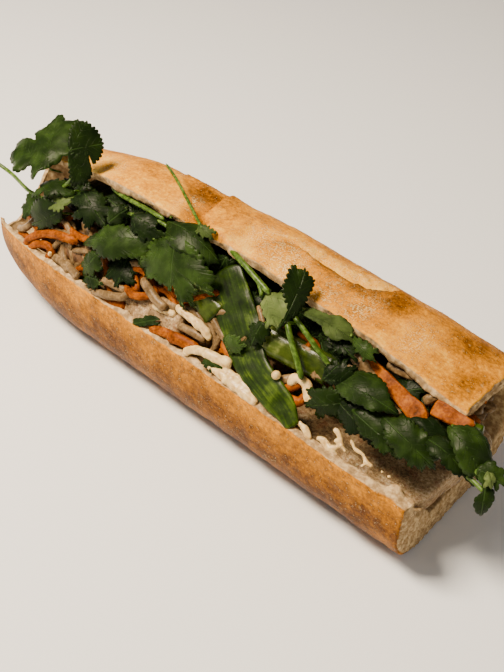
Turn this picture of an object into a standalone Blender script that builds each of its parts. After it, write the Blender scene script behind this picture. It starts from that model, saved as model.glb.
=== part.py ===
"""A filled baguette sandwich: a split loaf, sliced pork, pickled shreds, cucumber and coriander."""

import math

import bmesh
import bpy
from mathutils import Vector

MM = 0.001

# The loaf, in millimetres. X runs from its round tip to its cut end, and the mouth opens to -Y and up.
LOAF_LENGTH = 225.0
CUT_X = LOAF_LENGTH / 2
TIP_X = -LOAF_LENGTH / 2
HALF_WIDTH_AT_CUT = 38.4
HALF_WIDTH_AT_TIP = 30.0
BACK_LEAN = 2.9
LOWER_HEIGHT = 34.4
UPPER_HEIGHT_AT_CUT = 25.4
UPPER_BULGE = 12.3
BULGE_MIDDLE = -18.8
BULGE_REACH = 131.3
LOWER_SQUARENESS = 3.4
UPPER_SQUARENESS = 2.67
SOLE_SINK = 1.1

# Angles go round the section in degrees: 180 is the lower lip, 270 the sole, 360 the back, 450 the top.
LOWER_LIP_ANGLE = 180.0
UPPER_LIP_ANGLE = 458.3
TOP_FROM_ANGLE = 396.0
SIDE_POINTS = 19
TOP_POINTS = 11

# Crumb thickness: the lips, then the floor, back and ceiling with the angles between which one turns
# into the next. The crumb is pressed thinner in the corner under the meat.
LIP_THICKNESS = 3.0
FLOOR_THICKNESS = 13.5
BACK_THICKNESS = 9.0
CEILING_THICKNESS = 9.5
FLOOR_TO_BACK = (280.0, 350.0)
BACK_TO_CEILING = (370.0, 420.0)
LOWER_LIP_SPAN = (-14.0, 60.0)
UPPER_LIP_SPAN = (-40.0, 12.0)
CORNER_ANGLE = 222.0
CORNER_SPREAD = 18.0
CORNER_CUT = 3.2

# The round tip, where the lower and upper halves each shrink to their own point of (y, z).
TIP_TAPER = 58.0
TIP_LEAST = 0.2
TIP_ROUNDNESS = 1.83
LOWER_TIP = (-14.5, 27.2)
UPPER_TIP = (9.8, 45.5)
LOWER_TO_UPPER_TIP = (290.0, 400.0)
STRAIGHT_RINGS = 26
TIP_RINGS = 10

# Slashes in the top crust: from and to as (x, angle), the height of the raised edge and its width.
# The dough swells between them.
SLASHES = (
    ((-40.0, 428.0), (-2.0, 458.0), 1.5, 5.0),
    ((14.0, 458.0), (28.0, 441.0), 1.2, 5.0),
    ((28.0, 441.0), (70.0, 430.0), 2.0, 5.5),
)
ARC_PER_DEGREE = 0.62
EAR_OFFSET = 0.5
GROOVE_OFFSET = 0.7
GROOVE_SHARE = 0.6
SWELL_HEIGHT = 0.8
SWELL_LENGTH = 62.0
SWELL_FULL_ANGLE = 430.0

# The pork slices, laid end to end: x from, x to, width, and the height of the middle of each.
PORK_SLICES = (
    (37.5, 110.5, 45.5, 19.7),
    (-35.5, 36.5, 45.5, 19.9),
    (-84.0, -36.5, 43.0, 20.6),
)
PORK_THICKNESS = 11.6
PORK_FLARE = 0.06
PORK_SLANT = 0.12
PORK_MIDDLE_Y = -2.0
PORK_CUTS = 4
PORK_SQUARENESS = 7.0
PORK_RIPPLE = 0.45
PORK_RIPPLE_RATES = (0.31, 0.27)

# A core is a long bar in the hollow of the loaf, which carries the pieces that show.
CORE_STATIONS = 15
CORE_SIDES = 12
CORE_POWER = 0.7
CORE_RIPPLE = 0.8
CORE_RIPPLE_RATE = 0.5
NEST_TIP_SPAN = (26.4, 59.4)

# The pickled shreds that show: x, share across the mouth, depth, heading, length, curl and lift.
PICKLE_SPAN = (-88.0, 106.0)
PICKLE_MIDDLE = (-2.0, 37.2)
PICKLE_HALF = (25.5, 9.0)
SHRED_RADIUS = 2.2
SHRED_POINTS = 6
SHRED_LOWEST = 0.14
SHRED_HIGHEST = 0.34
SHREDS = (
    (-83.0, 0.18, 2.5, 20.0, 18.0, 1.0, 1.0),
    (-74.0, 0.28, 2.5, 5.0, 20.0, -1.0, 1.5),
    (-66.0, 0.18, 2.5, -20.0, 16.0, 0.8, 1.0),
    (-56.0, 0.24, 2.5, 35.0, 18.0, -0.8, 1.5),
    (-46.0, 0.17, 2.5, -8.0, 18.0, 0.6, 1.0),
    (-36.0, 0.17, 2.5, 12.0, 20.0, -0.8, 1.5),
    (-28.0, 0.26, 2.5, -15.0, 20.0, 0.6, 1.5),
    (-20.0, 0.30, 2.5, 85.0, 14.0, 0.5, 1.5),
    (-11.0, 0.28, 2.5, -70.0, 16.0, -0.5, 1.5),
    (-2.0, 0.18, 2.5, 8.0, 20.0, 0.5, 1.0),
    (7.0, 0.25, 2.5, -45.0, 16.0, 0.6, 1.5),
    (15.0, 0.22, 2.5, -50.0, 15.0, -0.5, 1.5),
    (22.0, 0.17, 2.5, 5.0, 13.0, 0.4, 0.5),
    (76.0, 0.22, 2.5, 40.0, 13.0, -0.6, 1.0),
)

# Loose batons and short cucumber pieces: from and to as (x, share, depth), width and thickness.
CARROT_BATONS = (
    ((69.0, 0.86, 3.0), (103.0, 0.72, 0.0), 5.4, 3.6),
    ((102.0, 0.86, 2.8), (117.0, 0.90, 1.0), 5.2, 3.0),
)
DAIKON_BATONS = (
    ((69.0, 0.70, 3.0), (79.5, 0.67, 2.8), 3.4, 2.4),
)
CUCUMBER_SLICE = ((38.0, 0.50, 3.6), (61.0, 0.56, 3.6), 9.0, 3.8)
CUCUMBER_CHIP = ((3.0, 0.50, 3.0), (14.0, 0.47, 3.0), 7.0, 2.4)
CUCUMBER_END = ((105.0, 0.78, 8.0), (119.5, 0.86, 8.0), 10.0, 4.6)
BAR_SIDES = 8
BAR_POWER = 0.6
BAR_END = 0.7
BAR_STATIONS = (0.0, 0.06, 0.5, 0.94, 1.0)

# The long strip of cucumber skin, as (x, share, depth).
STRIP_ROUTE = (
    (8.0, 0.80, 3.5),
    (18.0, 0.62, 2.8),
    (28.0, 0.44, 2.2),
    (39.0, 0.27, 0.6),
    (50.0, 0.19, 0.2),
    (61.0, 0.21, 0.6),
)
STRIP_WIDTH = 9.6
STRIP_THICKNESS = 2.4

# Coriander leaves, left to right: base and tip as (x, share, depth), half width, and fold.
LEAVES = (
    ((-75.0, 0.98, -4.0), (-125.0, 0.98, -9.0), 19.0, 0.15),
    ((-74.0, 0.94, -4.0), (-66.0, 1.50, -9.0), 13.0, 0.15),
    ((-73.0, 0.74, -1.0), (-96.0, 0.43, -3.0), 8.0, 0.3),
    ((-75.0, 0.54, -2.0), (-77.0, 0.22, -4.0), 6.5, 0.05),
    ((-50.0, 0.80, -1.0), (-30.0, 0.78, -3.0), 6.0, 0.3),
    ((-31.0, 0.74, -2.0), (-56.0, 0.45, -3.0), 7.5, 0.2),
    ((-30.0, 0.56, -3.0), (-56.0, 0.35, -3.5), 6.0, 0.1),
    ((-43.0, 0.36, -1.0), (-45.0, 0.12, -3.0), 5.0, 0.1),
    ((-20.0, 0.85, -2.5), (5.0, 0.84, -3.0), 5.0, 0.1),
    ((-14.0, 0.84, -3.0), (5.0, 0.36, -4.0), 15.0, 0.15),
    ((22.5, 0.80, -2.5), (35.0, 0.54, -3.5), 7.0, 0.1),
    ((32.0, 0.84, -3.0), (50.0, 1.08, -6.0), 11.0, 0.3),
    ((43.0, 0.83, -2.5), (75.0, 0.87, -3.0), 5.0, 0.1),
    ((82.0, 0.60, -1.0), (63.0, 0.24, -2.0), 8.0, 0.2),
    ((67.0, 0.54, -2.5), (92.0, 0.60, -4.0), 7.0, -0.2),
    ((84.0, 0.46, -1.0), (112.0, 0.34, -2.5), 9.0, -0.2),
    ((95.0, 0.53, -4.5), (126.0, 0.48, -4.5), 7.0, -0.2),
    ((108.0, 0.60, -2.5), (131.0, 0.60, -3.0), 5.0, -0.2),
    ((127.0, 0.56, -3.5), (135.0, 0.26, -2.0), 4.0, 0.2),
    ((127.0, 0.62, -4.5), (142.0, 0.58, -5.0), 6.0, 0.2),
)
LEAF_POINTS = 20
LEAF_THICKNESS = 0.9
LEAF_WAVE = 0.7
LEAF_WAVES_ROUND = 4
LEAF_MIDDLE = 0.42
LEAF_INNER_SHARE = 0.48
LOBE_NOTCHES = (40.0, 95.0)
NOTCH_WIDTH = 13.0
NOTCH_DEPTH = 0.42
TOOTH_DEPTH = 0.12

# Each leaf has a stalk, which goes in through the mouth and then down to the coriander's core.
STALK_RADIUS = 0.9
STALK_START = 0.15
STALK_ROOT = (-9.0, 52.0)
STALK_BENDS = (0.64, 0.50)
STALK_BEND_CHANGE = (40.0, 90.0)
STALK_BEND_HIGHEST = 0.86

# Long stems that show, as (x, share, depth) from end to end, with their radius.
STEMS = (
    (((-126.0, 0.60, -6.0), (-98.0, 0.55, -2.0), (-72.0, 0.74, -1.0)), 0.8),
    (((-27.0, 1.33, -8.5), (-15.0, 1.17, -6.5), (-4.0, 1.04, -4.0),
      (-2.0, 0.92, -3.0), (-8.0, 0.84, 2.0)), 0.8),
    (((-64.0, 0.86, 7.0), (-40.0, 0.90, 1.5), (-18.0, 0.89, -0.5)), 1.4),
    (((6.0, 0.90, 8.0), (19.0, 0.91, -1.0), (33.0, 0.85, -3.0)), 1.5),
    (((38.0, 0.88, -2.0), (50.0, 0.72, -2.5), (60.0, 0.45, -2.5)), 1.0),
    (((98.0, 0.54, 1.0), (116.0, 0.60, -2.5), (129.0, 0.58, -3.5)), 1.6),
)

# The coriander's core lies over the pickles, against the back of the loaf.
BUNDLE_SPAN = (-84.0, 98.0)
BUNDLE_MIDDLE = (3.0, 52.0)
BUNDLE_HALF = (17.0, 3.8)
BUNDLE_MARGIN = 4.0

CURVE_WELD = 0.00002
UNION_WELD = 0.00001


def smooth(low, high, value):
    """0 below low, 1 above high, and a smooth step between."""
    t = min(1.0, max(0.0, (value - low) / (high - low)))
    return t * t * (3 - 2 * t)


def mix(a, b, t):
    return a + (b - a) * t


def signed_power(value, power):
    return math.copysign(abs(value) ** power, value)


def make_material(name, colour, roughness):
    material = bpy.data.materials.new(name)
    material.use_nodes = True
    shader = material.node_tree.nodes["Principled BSDF"]
    shader.inputs["Base Color"].default_value = (*colour, 1.0)
    shader.inputs["Roughness"].default_value = roughness
    shader.inputs["Metallic"].default_value = 0.0
    return material


def make_collection(name):
    collection = bpy.data.collections.new(name)
    bpy.context.scene.collection.children.link(collection)
    return collection


def add_mesh_object(name, builder, material, collection):
    """A named object from a bmesh whose coordinates are in millimetres."""
    mesh = bpy.data.meshes.new(name)
    bmesh.ops.scale(builder, vec=(MM, MM, MM), verts=builder.verts)
    bmesh.ops.recalc_face_normals(builder, faces=builder.faces)
    builder.to_mesh(mesh)
    builder.free()
    thing = bpy.data.objects.new(name, mesh)
    thing.data.materials.append(material)
    collection.objects.link(thing)
    return thing


def loft(sections):
    """A closed band of quads between each section of points and the next, with open ends."""
    builder = bmesh.new()
    rings = [[builder.verts.new(point) for point in section] for section in sections]
    for near, far in zip(rings, rings[1:]):
        for i in range(len(near)):
            j = (i + 1) % len(near)
            builder.faces.new((near[i], near[j], far[j], far[i]))
    return builder, rings


def loft_bar(name, sections, material, collection):
    """A closed solid bar through the sections, with flat ends."""
    builder, rings = loft(sections)
    builder.faces.new(rings[0])
    builder.faces.new(rings[-1][::-1])
    return add_mesh_object(name, builder, material, collection)


def tip_scale(x):
    """How much of the full section is left at x, from the straight part to the round tip."""
    reach = (TIP_X + TIP_TAPER - x) / TIP_TAPER
    if reach <= 0:
        return 1.0
    left = max(0.0, 1 - reach**TIP_ROUNDNESS) ** (1 / TIP_ROUNDNESS)
    return mix(TIP_LEAST, 1.0, left)


def half_width(x):
    """The loaf is widest where it was cut through, and narrows towards its tip."""
    return mix(HALF_WIDTH_AT_TIP, HALF_WIDTH_AT_CUT, (x - TIP_X) / LOAF_LENGTH)


def upper_height(x):
    """The loaf's height above its middle: the filling lifts the top most at the middle."""
    across = (x - BULGE_MIDDLE) / BULGE_REACH
    return UPPER_HEIGHT_AT_CUT + UPPER_BULGE * max(0.0, 1 - across * across)


def shrink_to_tip(x, y, z, share):
    """Where (y, z) of the full section lies at x, as it nears the lower tip (0) or the upper one (1)."""
    tip = Vector(LOWER_TIP).lerp(Vector(UPPER_TIP), share)
    point = tip + (Vector((y, z)) - tip) * tip_scale(x)
    return Vector((x, point.x, point.y))


def crust_relief(x, angle):
    """Swells and slashes of the top crust: a raised edge on the far side of a slash, a groove before it."""
    swell = smooth(TOP_FROM_ANGLE, SWELL_FULL_ANGLE, angle)
    rise = SWELL_HEIGHT * math.sin(2 * math.pi * x / SWELL_LENGTH) * swell
    here = Vector((x, ARC_PER_DEGREE * angle))
    for (x0, a0), (x1, a1), height, width in SLASHES:
        start = Vector((x0, ARC_PER_DEGREE * a0))
        run = Vector((x1, ARC_PER_DEGREE * a1)) - start
        along = min(1.0, max(0.0, (here - start).dot(run) / run.length_squared))
        off = here - start - run * along
        side = math.copysign(off.length, run.x * off.y - run.y * off.x) / width
        ear = math.exp(-((side + EAR_OFFSET) ** 2))
        groove = GROOVE_SHARE * math.exp(-((side - GROOVE_OFFSET) ** 2))
        rise += height * smooth(0.0, 0.25, along) * smooth(0.0, 0.2, 1 - along) * (ear - groove)
    return rise * tip_scale(x)


def loaf_point(x, angle, inward):
    """A point of the loaf's section at x, `inward` millimetres in from the crust."""
    turn = math.radians(angle)
    above = math.sin(turn) > 0
    power = 2 / (UPPER_SQUARENESS if above else LOWER_SQUARENESS)
    reach_z = upper_height(x) if above else LOWER_HEIGHT + SOLE_SINK
    y = half_width(x) * signed_power(math.cos(turn), power)
    if math.cos(turn) > 0:
        y += BACK_LEAN * (x - TIP_X) / LOAF_LENGTH
    z = LOWER_HEIGHT + reach_z * signed_power(math.sin(turn), power)
    point = Vector((y, max(z, 0.0)))
    point += (Vector((0.0, LOWER_HEIGHT)) - point).normalized() * inward
    return shrink_to_tip(x, point.x, point.y, smooth(*LOWER_TO_UPPER_TIP, angle))


def wall_thickness(angle):
    """Crumb thickness round the section: thin lips, a thicker floor, back and ceiling."""
    body = mix(FLOOR_THICKNESS, BACK_THICKNESS, smooth(*FLOOR_TO_BACK, angle))
    body = mix(body, CEILING_THICKNESS, smooth(*BACK_TO_CEILING, angle))
    corner = (angle - CORNER_ANGLE) / CORNER_SPREAD
    body -= CORNER_CUT * math.exp(-corner * corner)
    lower = smooth(*LOWER_LIP_SPAN, angle - LOWER_LIP_ANGLE)
    upper = 1 - smooth(*UPPER_LIP_SPAN, angle - UPPER_LIP_ANGLE)
    return mix(LIP_THICKNESS, body, lower * upper)


def make_baguette(collection):
    """One C-shaped section lofted from the cut end to the tip."""
    stations = [mix(CUT_X, TIP_X + TIP_TAPER, i / STRAIGHT_RINGS) for i in range(STRAIGHT_RINGS)]
    for i in range(TIP_RINGS + 1):
        stations.append(TIP_X + TIP_TAPER * (1 - math.sin(math.pi / 2 * i / TIP_RINGS)))
    angles = [mix(LOWER_LIP_ANGLE, TOP_FROM_ANGLE, i / SIDE_POINTS) for i in range(SIDE_POINTS)]
    angles += [mix(TOP_FROM_ANGLE, UPPER_LIP_ANGLE, i / (TOP_POINTS - 1)) for i in range(TOP_POINTS)]
    sections = []
    for x in stations:
        crust = [loaf_point(x, angle, -crust_relief(x, angle)) for angle in angles]
        crumb = [loaf_point(x, angle, wall_thickness(angle)) for angle in angles]
        sections.append(crust + crumb[::-1])
    builder, rings = loft(sections)
    count = len(rings[0])
    for ring in (rings[0], rings[-1]):
        for i in range(len(angles) - 1):
            builder.faces.new((ring[i], ring[i + 1], ring[count - 2 - i], ring[count - 1 - i]))
    material = make_material("baguette_crust", (0.72, 0.42, 0.16), 0.55)
    return add_mesh_object("baguette", builder, material, collection)


def mouth_frame(x):
    """The lower lip, the way across to the upper lip, and the way in between them, at x."""
    x = min(CUT_X, max(TIP_X, x))
    low = loaf_point(x, LOWER_LIP_ANGLE, 0.0)
    across = loaf_point(x, UPPER_LIP_ANGLE, 0.0) - low
    inward = Vector((0.0, across.z, -across.y)).normalized()
    return low, across, inward


def mouth_point(x, share, depth):
    """A place in the mouth: share 0 at the lower lip and 1 at the upper, depth millimetres in."""
    low, across, inward = mouth_frame(x)
    point = low + across * share + inward * depth
    point.x = x
    return point


def nest_point(x, y, z):
    """Where a point of the middle section comes to lie at x, under the risen top and in the round tip."""
    y *= half_width(x) / half_width(0.0)
    if z > LOWER_HEIGHT:
        z = LOWER_HEIGHT + (z - LOWER_HEIGHT) * upper_height(x) / (UPPER_HEIGHT_AT_CUT + UPPER_BULGE)
    return shrink_to_tip(x, y, z, smooth(*NEST_TIP_SPAN, z))


def facing_frame(ahead, x):
    """The sideways and outward directions of a piece that points ahead and faces out of the mouth."""
    side = ahead.cross(-mouth_frame(x)[2]).normalized()
    return side, side.cross(ahead)


def make_pork(index, sizes, material, collection):
    """One slice of pork: a rounded slab with an uneven face, lying in the trough."""
    start, end, width, height = sizes
    builder = bmesh.new()
    bmesh.ops.create_cube(builder, size=2.0)
    bmesh.ops.subdivide_edges(builder, edges=builder.edges, cuts=PORK_CUTS, use_grid_fill=True)
    middle = Vector(((start + end) / 2, PORK_MIDDLE_Y, height))
    half = Vector(((end - start) / 2, width / 2, PORK_THICKNESS / 2))
    for vert in builder.verts:
        bulk = sum(abs(c) ** PORK_SQUARENESS for c in vert.co) ** (1 / PORK_SQUARENESS)
        round_point = vert.co / bulk
        place = Vector(c * h for c, h in zip(round_point, half))
        place.y *= 1 + PORK_FLARE * round_point.z
        place += middle
        if round_point.z > 0:
            across, over = (rate * c for rate, c in zip(PORK_RIPPLE_RATES, place))
            place.z += PORK_RIPPLE * math.sin(across + index) * math.cos(over + 2 * index)
        place.x += PORK_SLANT * (place.y - PORK_MIDDLE_Y)
        vert.co = nest_point(*place)
    return add_mesh_object(f"pork_slice_{index}", builder, material, collection)


def make_core(name, span, middle, half, material):
    """A long rounded bar in the hollow of the loaf, with an uneven top."""
    sections = []
    for i in range(CORE_STATIONS):
        x = mix(*span, i / (CORE_STATIONS - 1))
        section = []
        for k in range(CORE_SIDES):
            turn = 2 * math.pi * k / CORE_SIDES
            y = middle[0] + half[0] * signed_power(math.cos(turn), CORE_POWER)
            z = middle[1] + half[1] * signed_power(math.sin(turn), CORE_POWER)
            z += CORE_RIPPLE * math.sin(CORE_RIPPLE_RATE * x + 2 * turn) * max(0.0, math.sin(turn))
            section.append(nest_point(x, y, z))
        sections.append(section)
    return loft_bar(name, sections, material, bpy.context.scene.collection)


def evaluated_copy(source, name, collection):
    """A mesh object of what another object looks like with its modifiers."""
    bpy.context.view_layer.update()
    graph = bpy.context.evaluated_depsgraph_get()
    mesh = bpy.data.meshes.new_from_object(source.evaluated_get(graph))
    copy = bpy.data.objects.new(name, mesh)
    copy.matrix_world = source.matrix_world
    collection.objects.link(copy)
    return copy


def add_tube(name, points, radius, collection):
    """A four-sided closed tube along points, from a bevelled curve whose caps are welded on."""
    curve = bpy.data.curves.new(name, "CURVE")
    curve.dimensions = "3D"
    curve.bevel_depth = radius * MM
    curve.bevel_resolution = 0
    curve.use_fill_caps = True
    spline = curve.splines.new("POLY")
    spline.points.add(len(points) - 1)
    for knot, point in zip(spline.points, points):
        knot.co = (*(point * MM), 1.0)
    guide = bpy.data.objects.new(name, curve)
    bpy.context.scene.collection.objects.link(guide)
    tube = evaluated_copy(guide, name, collection)
    bpy.data.objects.remove(guide)
    builder = bmesh.new()
    builder.from_mesh(tube.data)
    bmesh.ops.remove_doubles(builder, verts=builder.verts, dist=CURVE_WELD)
    bmesh.ops.recalc_face_normals(builder, faces=builder.faces)
    builder.to_mesh(tube.data)
    builder.free()


def fuse(core, pieces, name, material, collection):
    """One solid from a core and a collection of pieces, which are then removed."""
    union = core.modifiers.new("fuse", "BOOLEAN")
    union.operation = "UNION"
    union.operand_type = "COLLECTION"
    union.collection = pieces
    union.solver = "MANIFOLD"
    whole = evaluated_copy(core, name, collection)
    whole.data.materials.clear()
    whole.data.materials.append(material)
    for piece in list(pieces.objects):
        bpy.data.objects.remove(piece)
    bpy.data.collections.remove(pieces)
    bpy.data.objects.remove(core)
    keep_largest(whole)
    return whole


def keep_largest(thing):
    """Drops the scraps that a union leaves loose."""
    builder = bmesh.new()
    builder.from_mesh(thing.data)
    bmesh.ops.remove_doubles(builder, verts=builder.verts, dist=UNION_WELD)
    bmesh.ops.triangulate(builder, faces=builder.faces)
    islands = []
    seen = set()
    for first in builder.verts:
        if first in seen:
            continue
        island = {first}
        waiting = [first]
        while waiting:
            vert = waiting.pop()
            for edge in vert.link_edges:
                other = edge.other_vert(vert)
                if other not in island:
                    island.add(other)
                    waiting.append(other)
        seen |= island
        islands.append(island)
    largest = max(islands, key=len)
    loose = [vert for vert in builder.verts if vert not in largest]
    bmesh.ops.delete(builder, geom=loose, context="VERTS")
    builder.to_mesh(thing.data)
    builder.free()


def shred_points(x, share, depth, heading, length, curl, lift):
    """A curved shred in the plane of the mouth, round its middle point and clear of the loaf's edge."""
    points = []
    gap = mouth_frame(x)[1].length
    for i in range(SHRED_POINTS):
        t = 2 * i / (SHRED_POINTS - 1) - 1
        turn = math.radians(heading) + curl * t
        step = t * length / 2
        height = share + math.sin(turn) * step / gap
        height = min(SHRED_HIGHEST, max(SHRED_LOWEST, height))
        points.append(mouth_point(x + math.cos(turn) * step, height, depth - lift * (1 - t * t)))
    return points


def make_pickles(collection):
    """The pickled carrot and daikon: a core along the trough, with the shreds that show fused on."""
    pieces = make_collection("pickle_pieces")
    material = make_material("pickled_shreds", (0.85, 0.62, 0.38), 0.35)
    core = make_core("pickle_core", PICKLE_SPAN, PICKLE_MIDDLE, PICKLE_HALF, material)
    for index, shred in enumerate(SHREDS):
        add_tube(f"shred_{index}", shred_points(*shred), SHRED_RADIUS, pieces)
    return fuse(core, pieces, "pickled_shreds", material, collection)


def make_bar(name, points, width, thickness, material, collection):
    """A bar of rounded oblong section along points in the mouth, its broad side facing out."""
    sections = []
    last = len(points) - 1
    for i, point in enumerate(points):
        ahead = (points[min(last, i + 1)] - points[max(0, i - 1)]).normalized()
        side, out = facing_frame(ahead, point.x)
        narrow = BAR_END if i in (0, last) else 1.0
        section = []
        for k in range(BAR_SIDES):
            turn = 2 * math.pi * (k + 0.5) / BAR_SIDES
            across = signed_power(math.cos(turn), BAR_POWER) * width / 2 * narrow
            rise = signed_power(math.sin(turn), BAR_POWER) * thickness / 2 * narrow
            section.append(point + side * across + out * rise)
        sections.append(section)
    return loft_bar(name, sections, material, collection)


def make_short_piece(name, sizes, material, collection):
    """A straight bar, its stations closer together at its rounded ends."""
    start, end, width, thickness = sizes
    first = mouth_point(*start)
    last = mouth_point(*end)
    points = [first.lerp(last, t) for t in BAR_STATIONS]
    return make_bar(name, points, width, thickness, material, collection)


def make_vegetables(collection):
    """The loose pieces: cucumber, and the batons that lie above the leaves."""
    skin = make_material("cucumber_skin", (0.10, 0.17, 0.03), 0.3)
    flesh = make_material("cucumber_flesh", (0.45, 0.55, 0.25), 0.25)
    carrot = make_material("pickled_carrot", (0.80, 0.30, 0.06), 0.3)
    daikon = make_material("pickled_daikon", (0.75, 0.62, 0.45), 0.3)
    route = [mouth_point(*place) for place in STRIP_ROUTE]
    make_bar("cucumber_strip", route, STRIP_WIDTH, STRIP_THICKNESS, skin, collection)
    make_short_piece("cucumber_slice", CUCUMBER_SLICE, flesh, collection)
    make_short_piece("cucumber_chip", CUCUMBER_CHIP, flesh, collection)
    make_short_piece("cucumber_end", CUCUMBER_END, skin, collection)
    for index, baton in enumerate(CARROT_BATONS, 1):
        make_short_piece(f"carrot_baton_{index}", baton, carrot, collection)
    for index, baton in enumerate(DAIKON_BATONS, 1):
        make_short_piece(f"daikon_baton_{index}", baton, daikon, collection)


def leaf_reach(angle):
    """How far a leaf's edge is from its middle in one direction: it has deep notches between lobes."""
    reach = 1.0
    for notch in LOBE_NOTCHES:
        gap = (abs(angle) - notch) / NOTCH_WIDTH
        reach -= NOTCH_DEPTH * math.exp(-gap * gap)
    return reach


def make_leaf(index, base, tip, half_span, fold, material, collection):
    """One leaf: a thin lobed solid, folded along its middle and wavy, with both faces alike."""
    start = mouth_point(*base)
    end = mouth_point(*tip)
    ahead = (end - start).normalized()
    side, out = facing_frame(ahead, start.x)
    length = (end - start).length
    middle = start.lerp(end, LEAF_MIDDLE)

    def place(angle, share, layer):
        turn = math.radians(angle)
        u = math.cos(turn) * length * (1 - LEAF_MIDDLE if math.cos(turn) > 0 else LEAF_MIDDLE)
        v = math.sin(turn) * half_span
        rise = LEAF_WAVE * math.sin(LEAF_WAVES_ROUND * turn + index) - fold * abs(v)
        return middle + (ahead * u + side * v + out * rise) * share + out * layer

    builder = bmesh.new()
    edges = []
    half = LEAF_POINTS // 2
    for layer in (LEAF_THICKNESS / 2, -LEAF_THICKNESS / 2):
        edge = []
        inner = []
        for k in range(LEAF_POINTS):
            angle = 360.0 * (k + 0.5) / LEAF_POINTS - 180.0
            reach = leaf_reach(angle) * (1 - TOOTH_DEPTH * (k % 2))
            edge.append(builder.verts.new(place(angle, reach, layer)))
            if k % 2 == 0:
                inner.append(builder.verts.new(place(angle, LEAF_INNER_SHARE, layer)))
        hub = builder.verts.new(middle + out * layer)
        for j in range(half):
            a, b, c = edge[2 * j], edge[2 * j + 1], edge[(2 * j + 2) % LEAF_POINTS]
            near, far = inner[j], inner[(j + 1) % half]
            for corners in ((a, b, near), (b, far, near), (b, c, far), (near, far, hub)):
                builder.faces.new(corners)
        edges.append(edge)
    front, back = edges
    for k in range(LEAF_POINTS):
        j = (k + 1) % LEAF_POINTS
        builder.faces.new((front[k], front[j], back[j], back[k]))
    return add_mesh_object(f"leaf_{index}", builder, material, collection)


def stalk_points(base, tip):
    """A leaf's stalk: from just inside the leaf, in over the pickles, and down to the core."""
    x = min(BUNDLE_SPAN[1] - BUNDLE_MARGIN, max(BUNDLE_SPAN[0] + BUNDLE_MARGIN, base[0]))
    lowest = mix(*STALK_BENDS, smooth(*STALK_BEND_CHANGE, x))
    bend = mouth_point(mix(base[0], x, 0.5), min(STALK_BEND_HIGHEST, max(base[1], lowest)), 0.0)
    start = mouth_point(*base).lerp(mouth_point(*tip), STALK_START)
    return [start, bend, nest_point(x, *STALK_ROOT)]


def make_coriander(collection):
    """The coriander: a core behind, with the leaves and stems that show fused on."""
    pieces = make_collection("coriander_pieces")
    material = make_material("coriander", (0.10, 0.20, 0.04), 0.4)
    core = make_core("coriander_core", BUNDLE_SPAN, BUNDLE_MIDDLE, BUNDLE_HALF, material)
    for index, (base, tip, half_span, fold) in enumerate(LEAVES):
        make_leaf(index, base, tip, half_span, fold, material, pieces)
        add_tube(f"stalk_{index}", stalk_points(base, tip), STALK_RADIUS, pieces)
    for index, (route, radius) in enumerate(STEMS):
        add_tube(f"stem_{index}", [mouth_point(*place) for place in route], radius, pieces)
    return fuse(core, pieces, "coriander_bundle", material, collection)


def clear_scene():
    for thing in list(bpy.data.objects):
        bpy.data.objects.remove(thing)


def main():
    clear_scene()
    sandwich = make_collection("banh_mi_sandwich")
    make_baguette(sandwich)
    pork = make_material("sliced_pork", (0.42, 0.27, 0.17), 0.5)
    for index, sizes in enumerate(PORK_SLICES, 1):
        make_pork(index, sizes, pork, sandwich)
    make_pickles(sandwich)
    make_vegetables(sandwich)
    make_coriander(sandwich)


main()
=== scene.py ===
import math
import random
from functools import partial

import bmesh
import bpy
from mathutils import Matrix, Vector, noise


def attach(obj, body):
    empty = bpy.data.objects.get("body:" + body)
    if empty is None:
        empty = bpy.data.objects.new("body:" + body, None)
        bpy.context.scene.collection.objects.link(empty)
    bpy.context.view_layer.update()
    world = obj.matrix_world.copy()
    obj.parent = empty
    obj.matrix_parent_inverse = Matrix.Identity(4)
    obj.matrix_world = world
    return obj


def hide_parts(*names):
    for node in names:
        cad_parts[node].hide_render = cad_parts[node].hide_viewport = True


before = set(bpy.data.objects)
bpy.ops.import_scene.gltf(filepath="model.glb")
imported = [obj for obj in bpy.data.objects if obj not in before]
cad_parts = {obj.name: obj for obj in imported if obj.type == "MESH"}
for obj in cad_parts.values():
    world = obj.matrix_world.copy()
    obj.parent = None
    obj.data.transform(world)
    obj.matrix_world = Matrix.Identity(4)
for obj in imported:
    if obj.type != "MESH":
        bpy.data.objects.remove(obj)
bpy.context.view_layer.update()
mm = 0.001


# small tools

def mix(a, b, t):
    return a + (b - a) * t


def smoothStep(low, high, value):
    t = min(1.0, max(0.0, (value - low) / (high - low)))
    return t * t * (3 - 2 * t)


def signedPower(value, power):
    return math.copysign(abs(value) ** power, value)


def stepsTo(stops, value):  # straight lines through (place, value) stops
    for (a, low), (b, high) in zip(stops, stops[1:]):
        if value <= b:
            return mix(low, high, max(0.0, (value - a) / (b - a)))
    return stops[-1][1]


def hexColour(text):  # sRGB hex to linear RGBA
    parts = [int(text[i:i + 2], 16) / 255 for i in (1, 3, 5)]
    return (*[c / 12.92 if c <= 0.04045 else ((c + 0.055) / 1.055) ** 2.4 for c in parts], 1.0)


def perMm(size):  # pattern scale on Object coordinates for features of that size in mm
    return 1000.0 / size


def feed(tree, socket, value):  # links a socket, and sets anything else on it
    if isinstance(value, bpy.types.NodeSocket):
        tree.links.new(value, socket)
    else:
        socket.default_value = value


# Adds a node with its settings and links, and gives its output.
def addNode(tree, kind, inputs, out=0, stops=(), **settings):
    node = tree.nodes.new("ShaderNode" + kind)
    for name, value in settings.items():
        setattr(node, name, value)
    for key, value in inputs.items():
        feed(tree, node.inputs[key], value)
    for index, (place, colour) in enumerate(stops):
        points = node.color_ramp.elements
        point = points[index] if index < len(points) else points.new(place)
        point.position = place
        point.color = hexColour(colour)
    return node.outputs[out]


eased = {"interpolation_type": "SMOOTHSTEP"}  # for a range with soft ends


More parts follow.
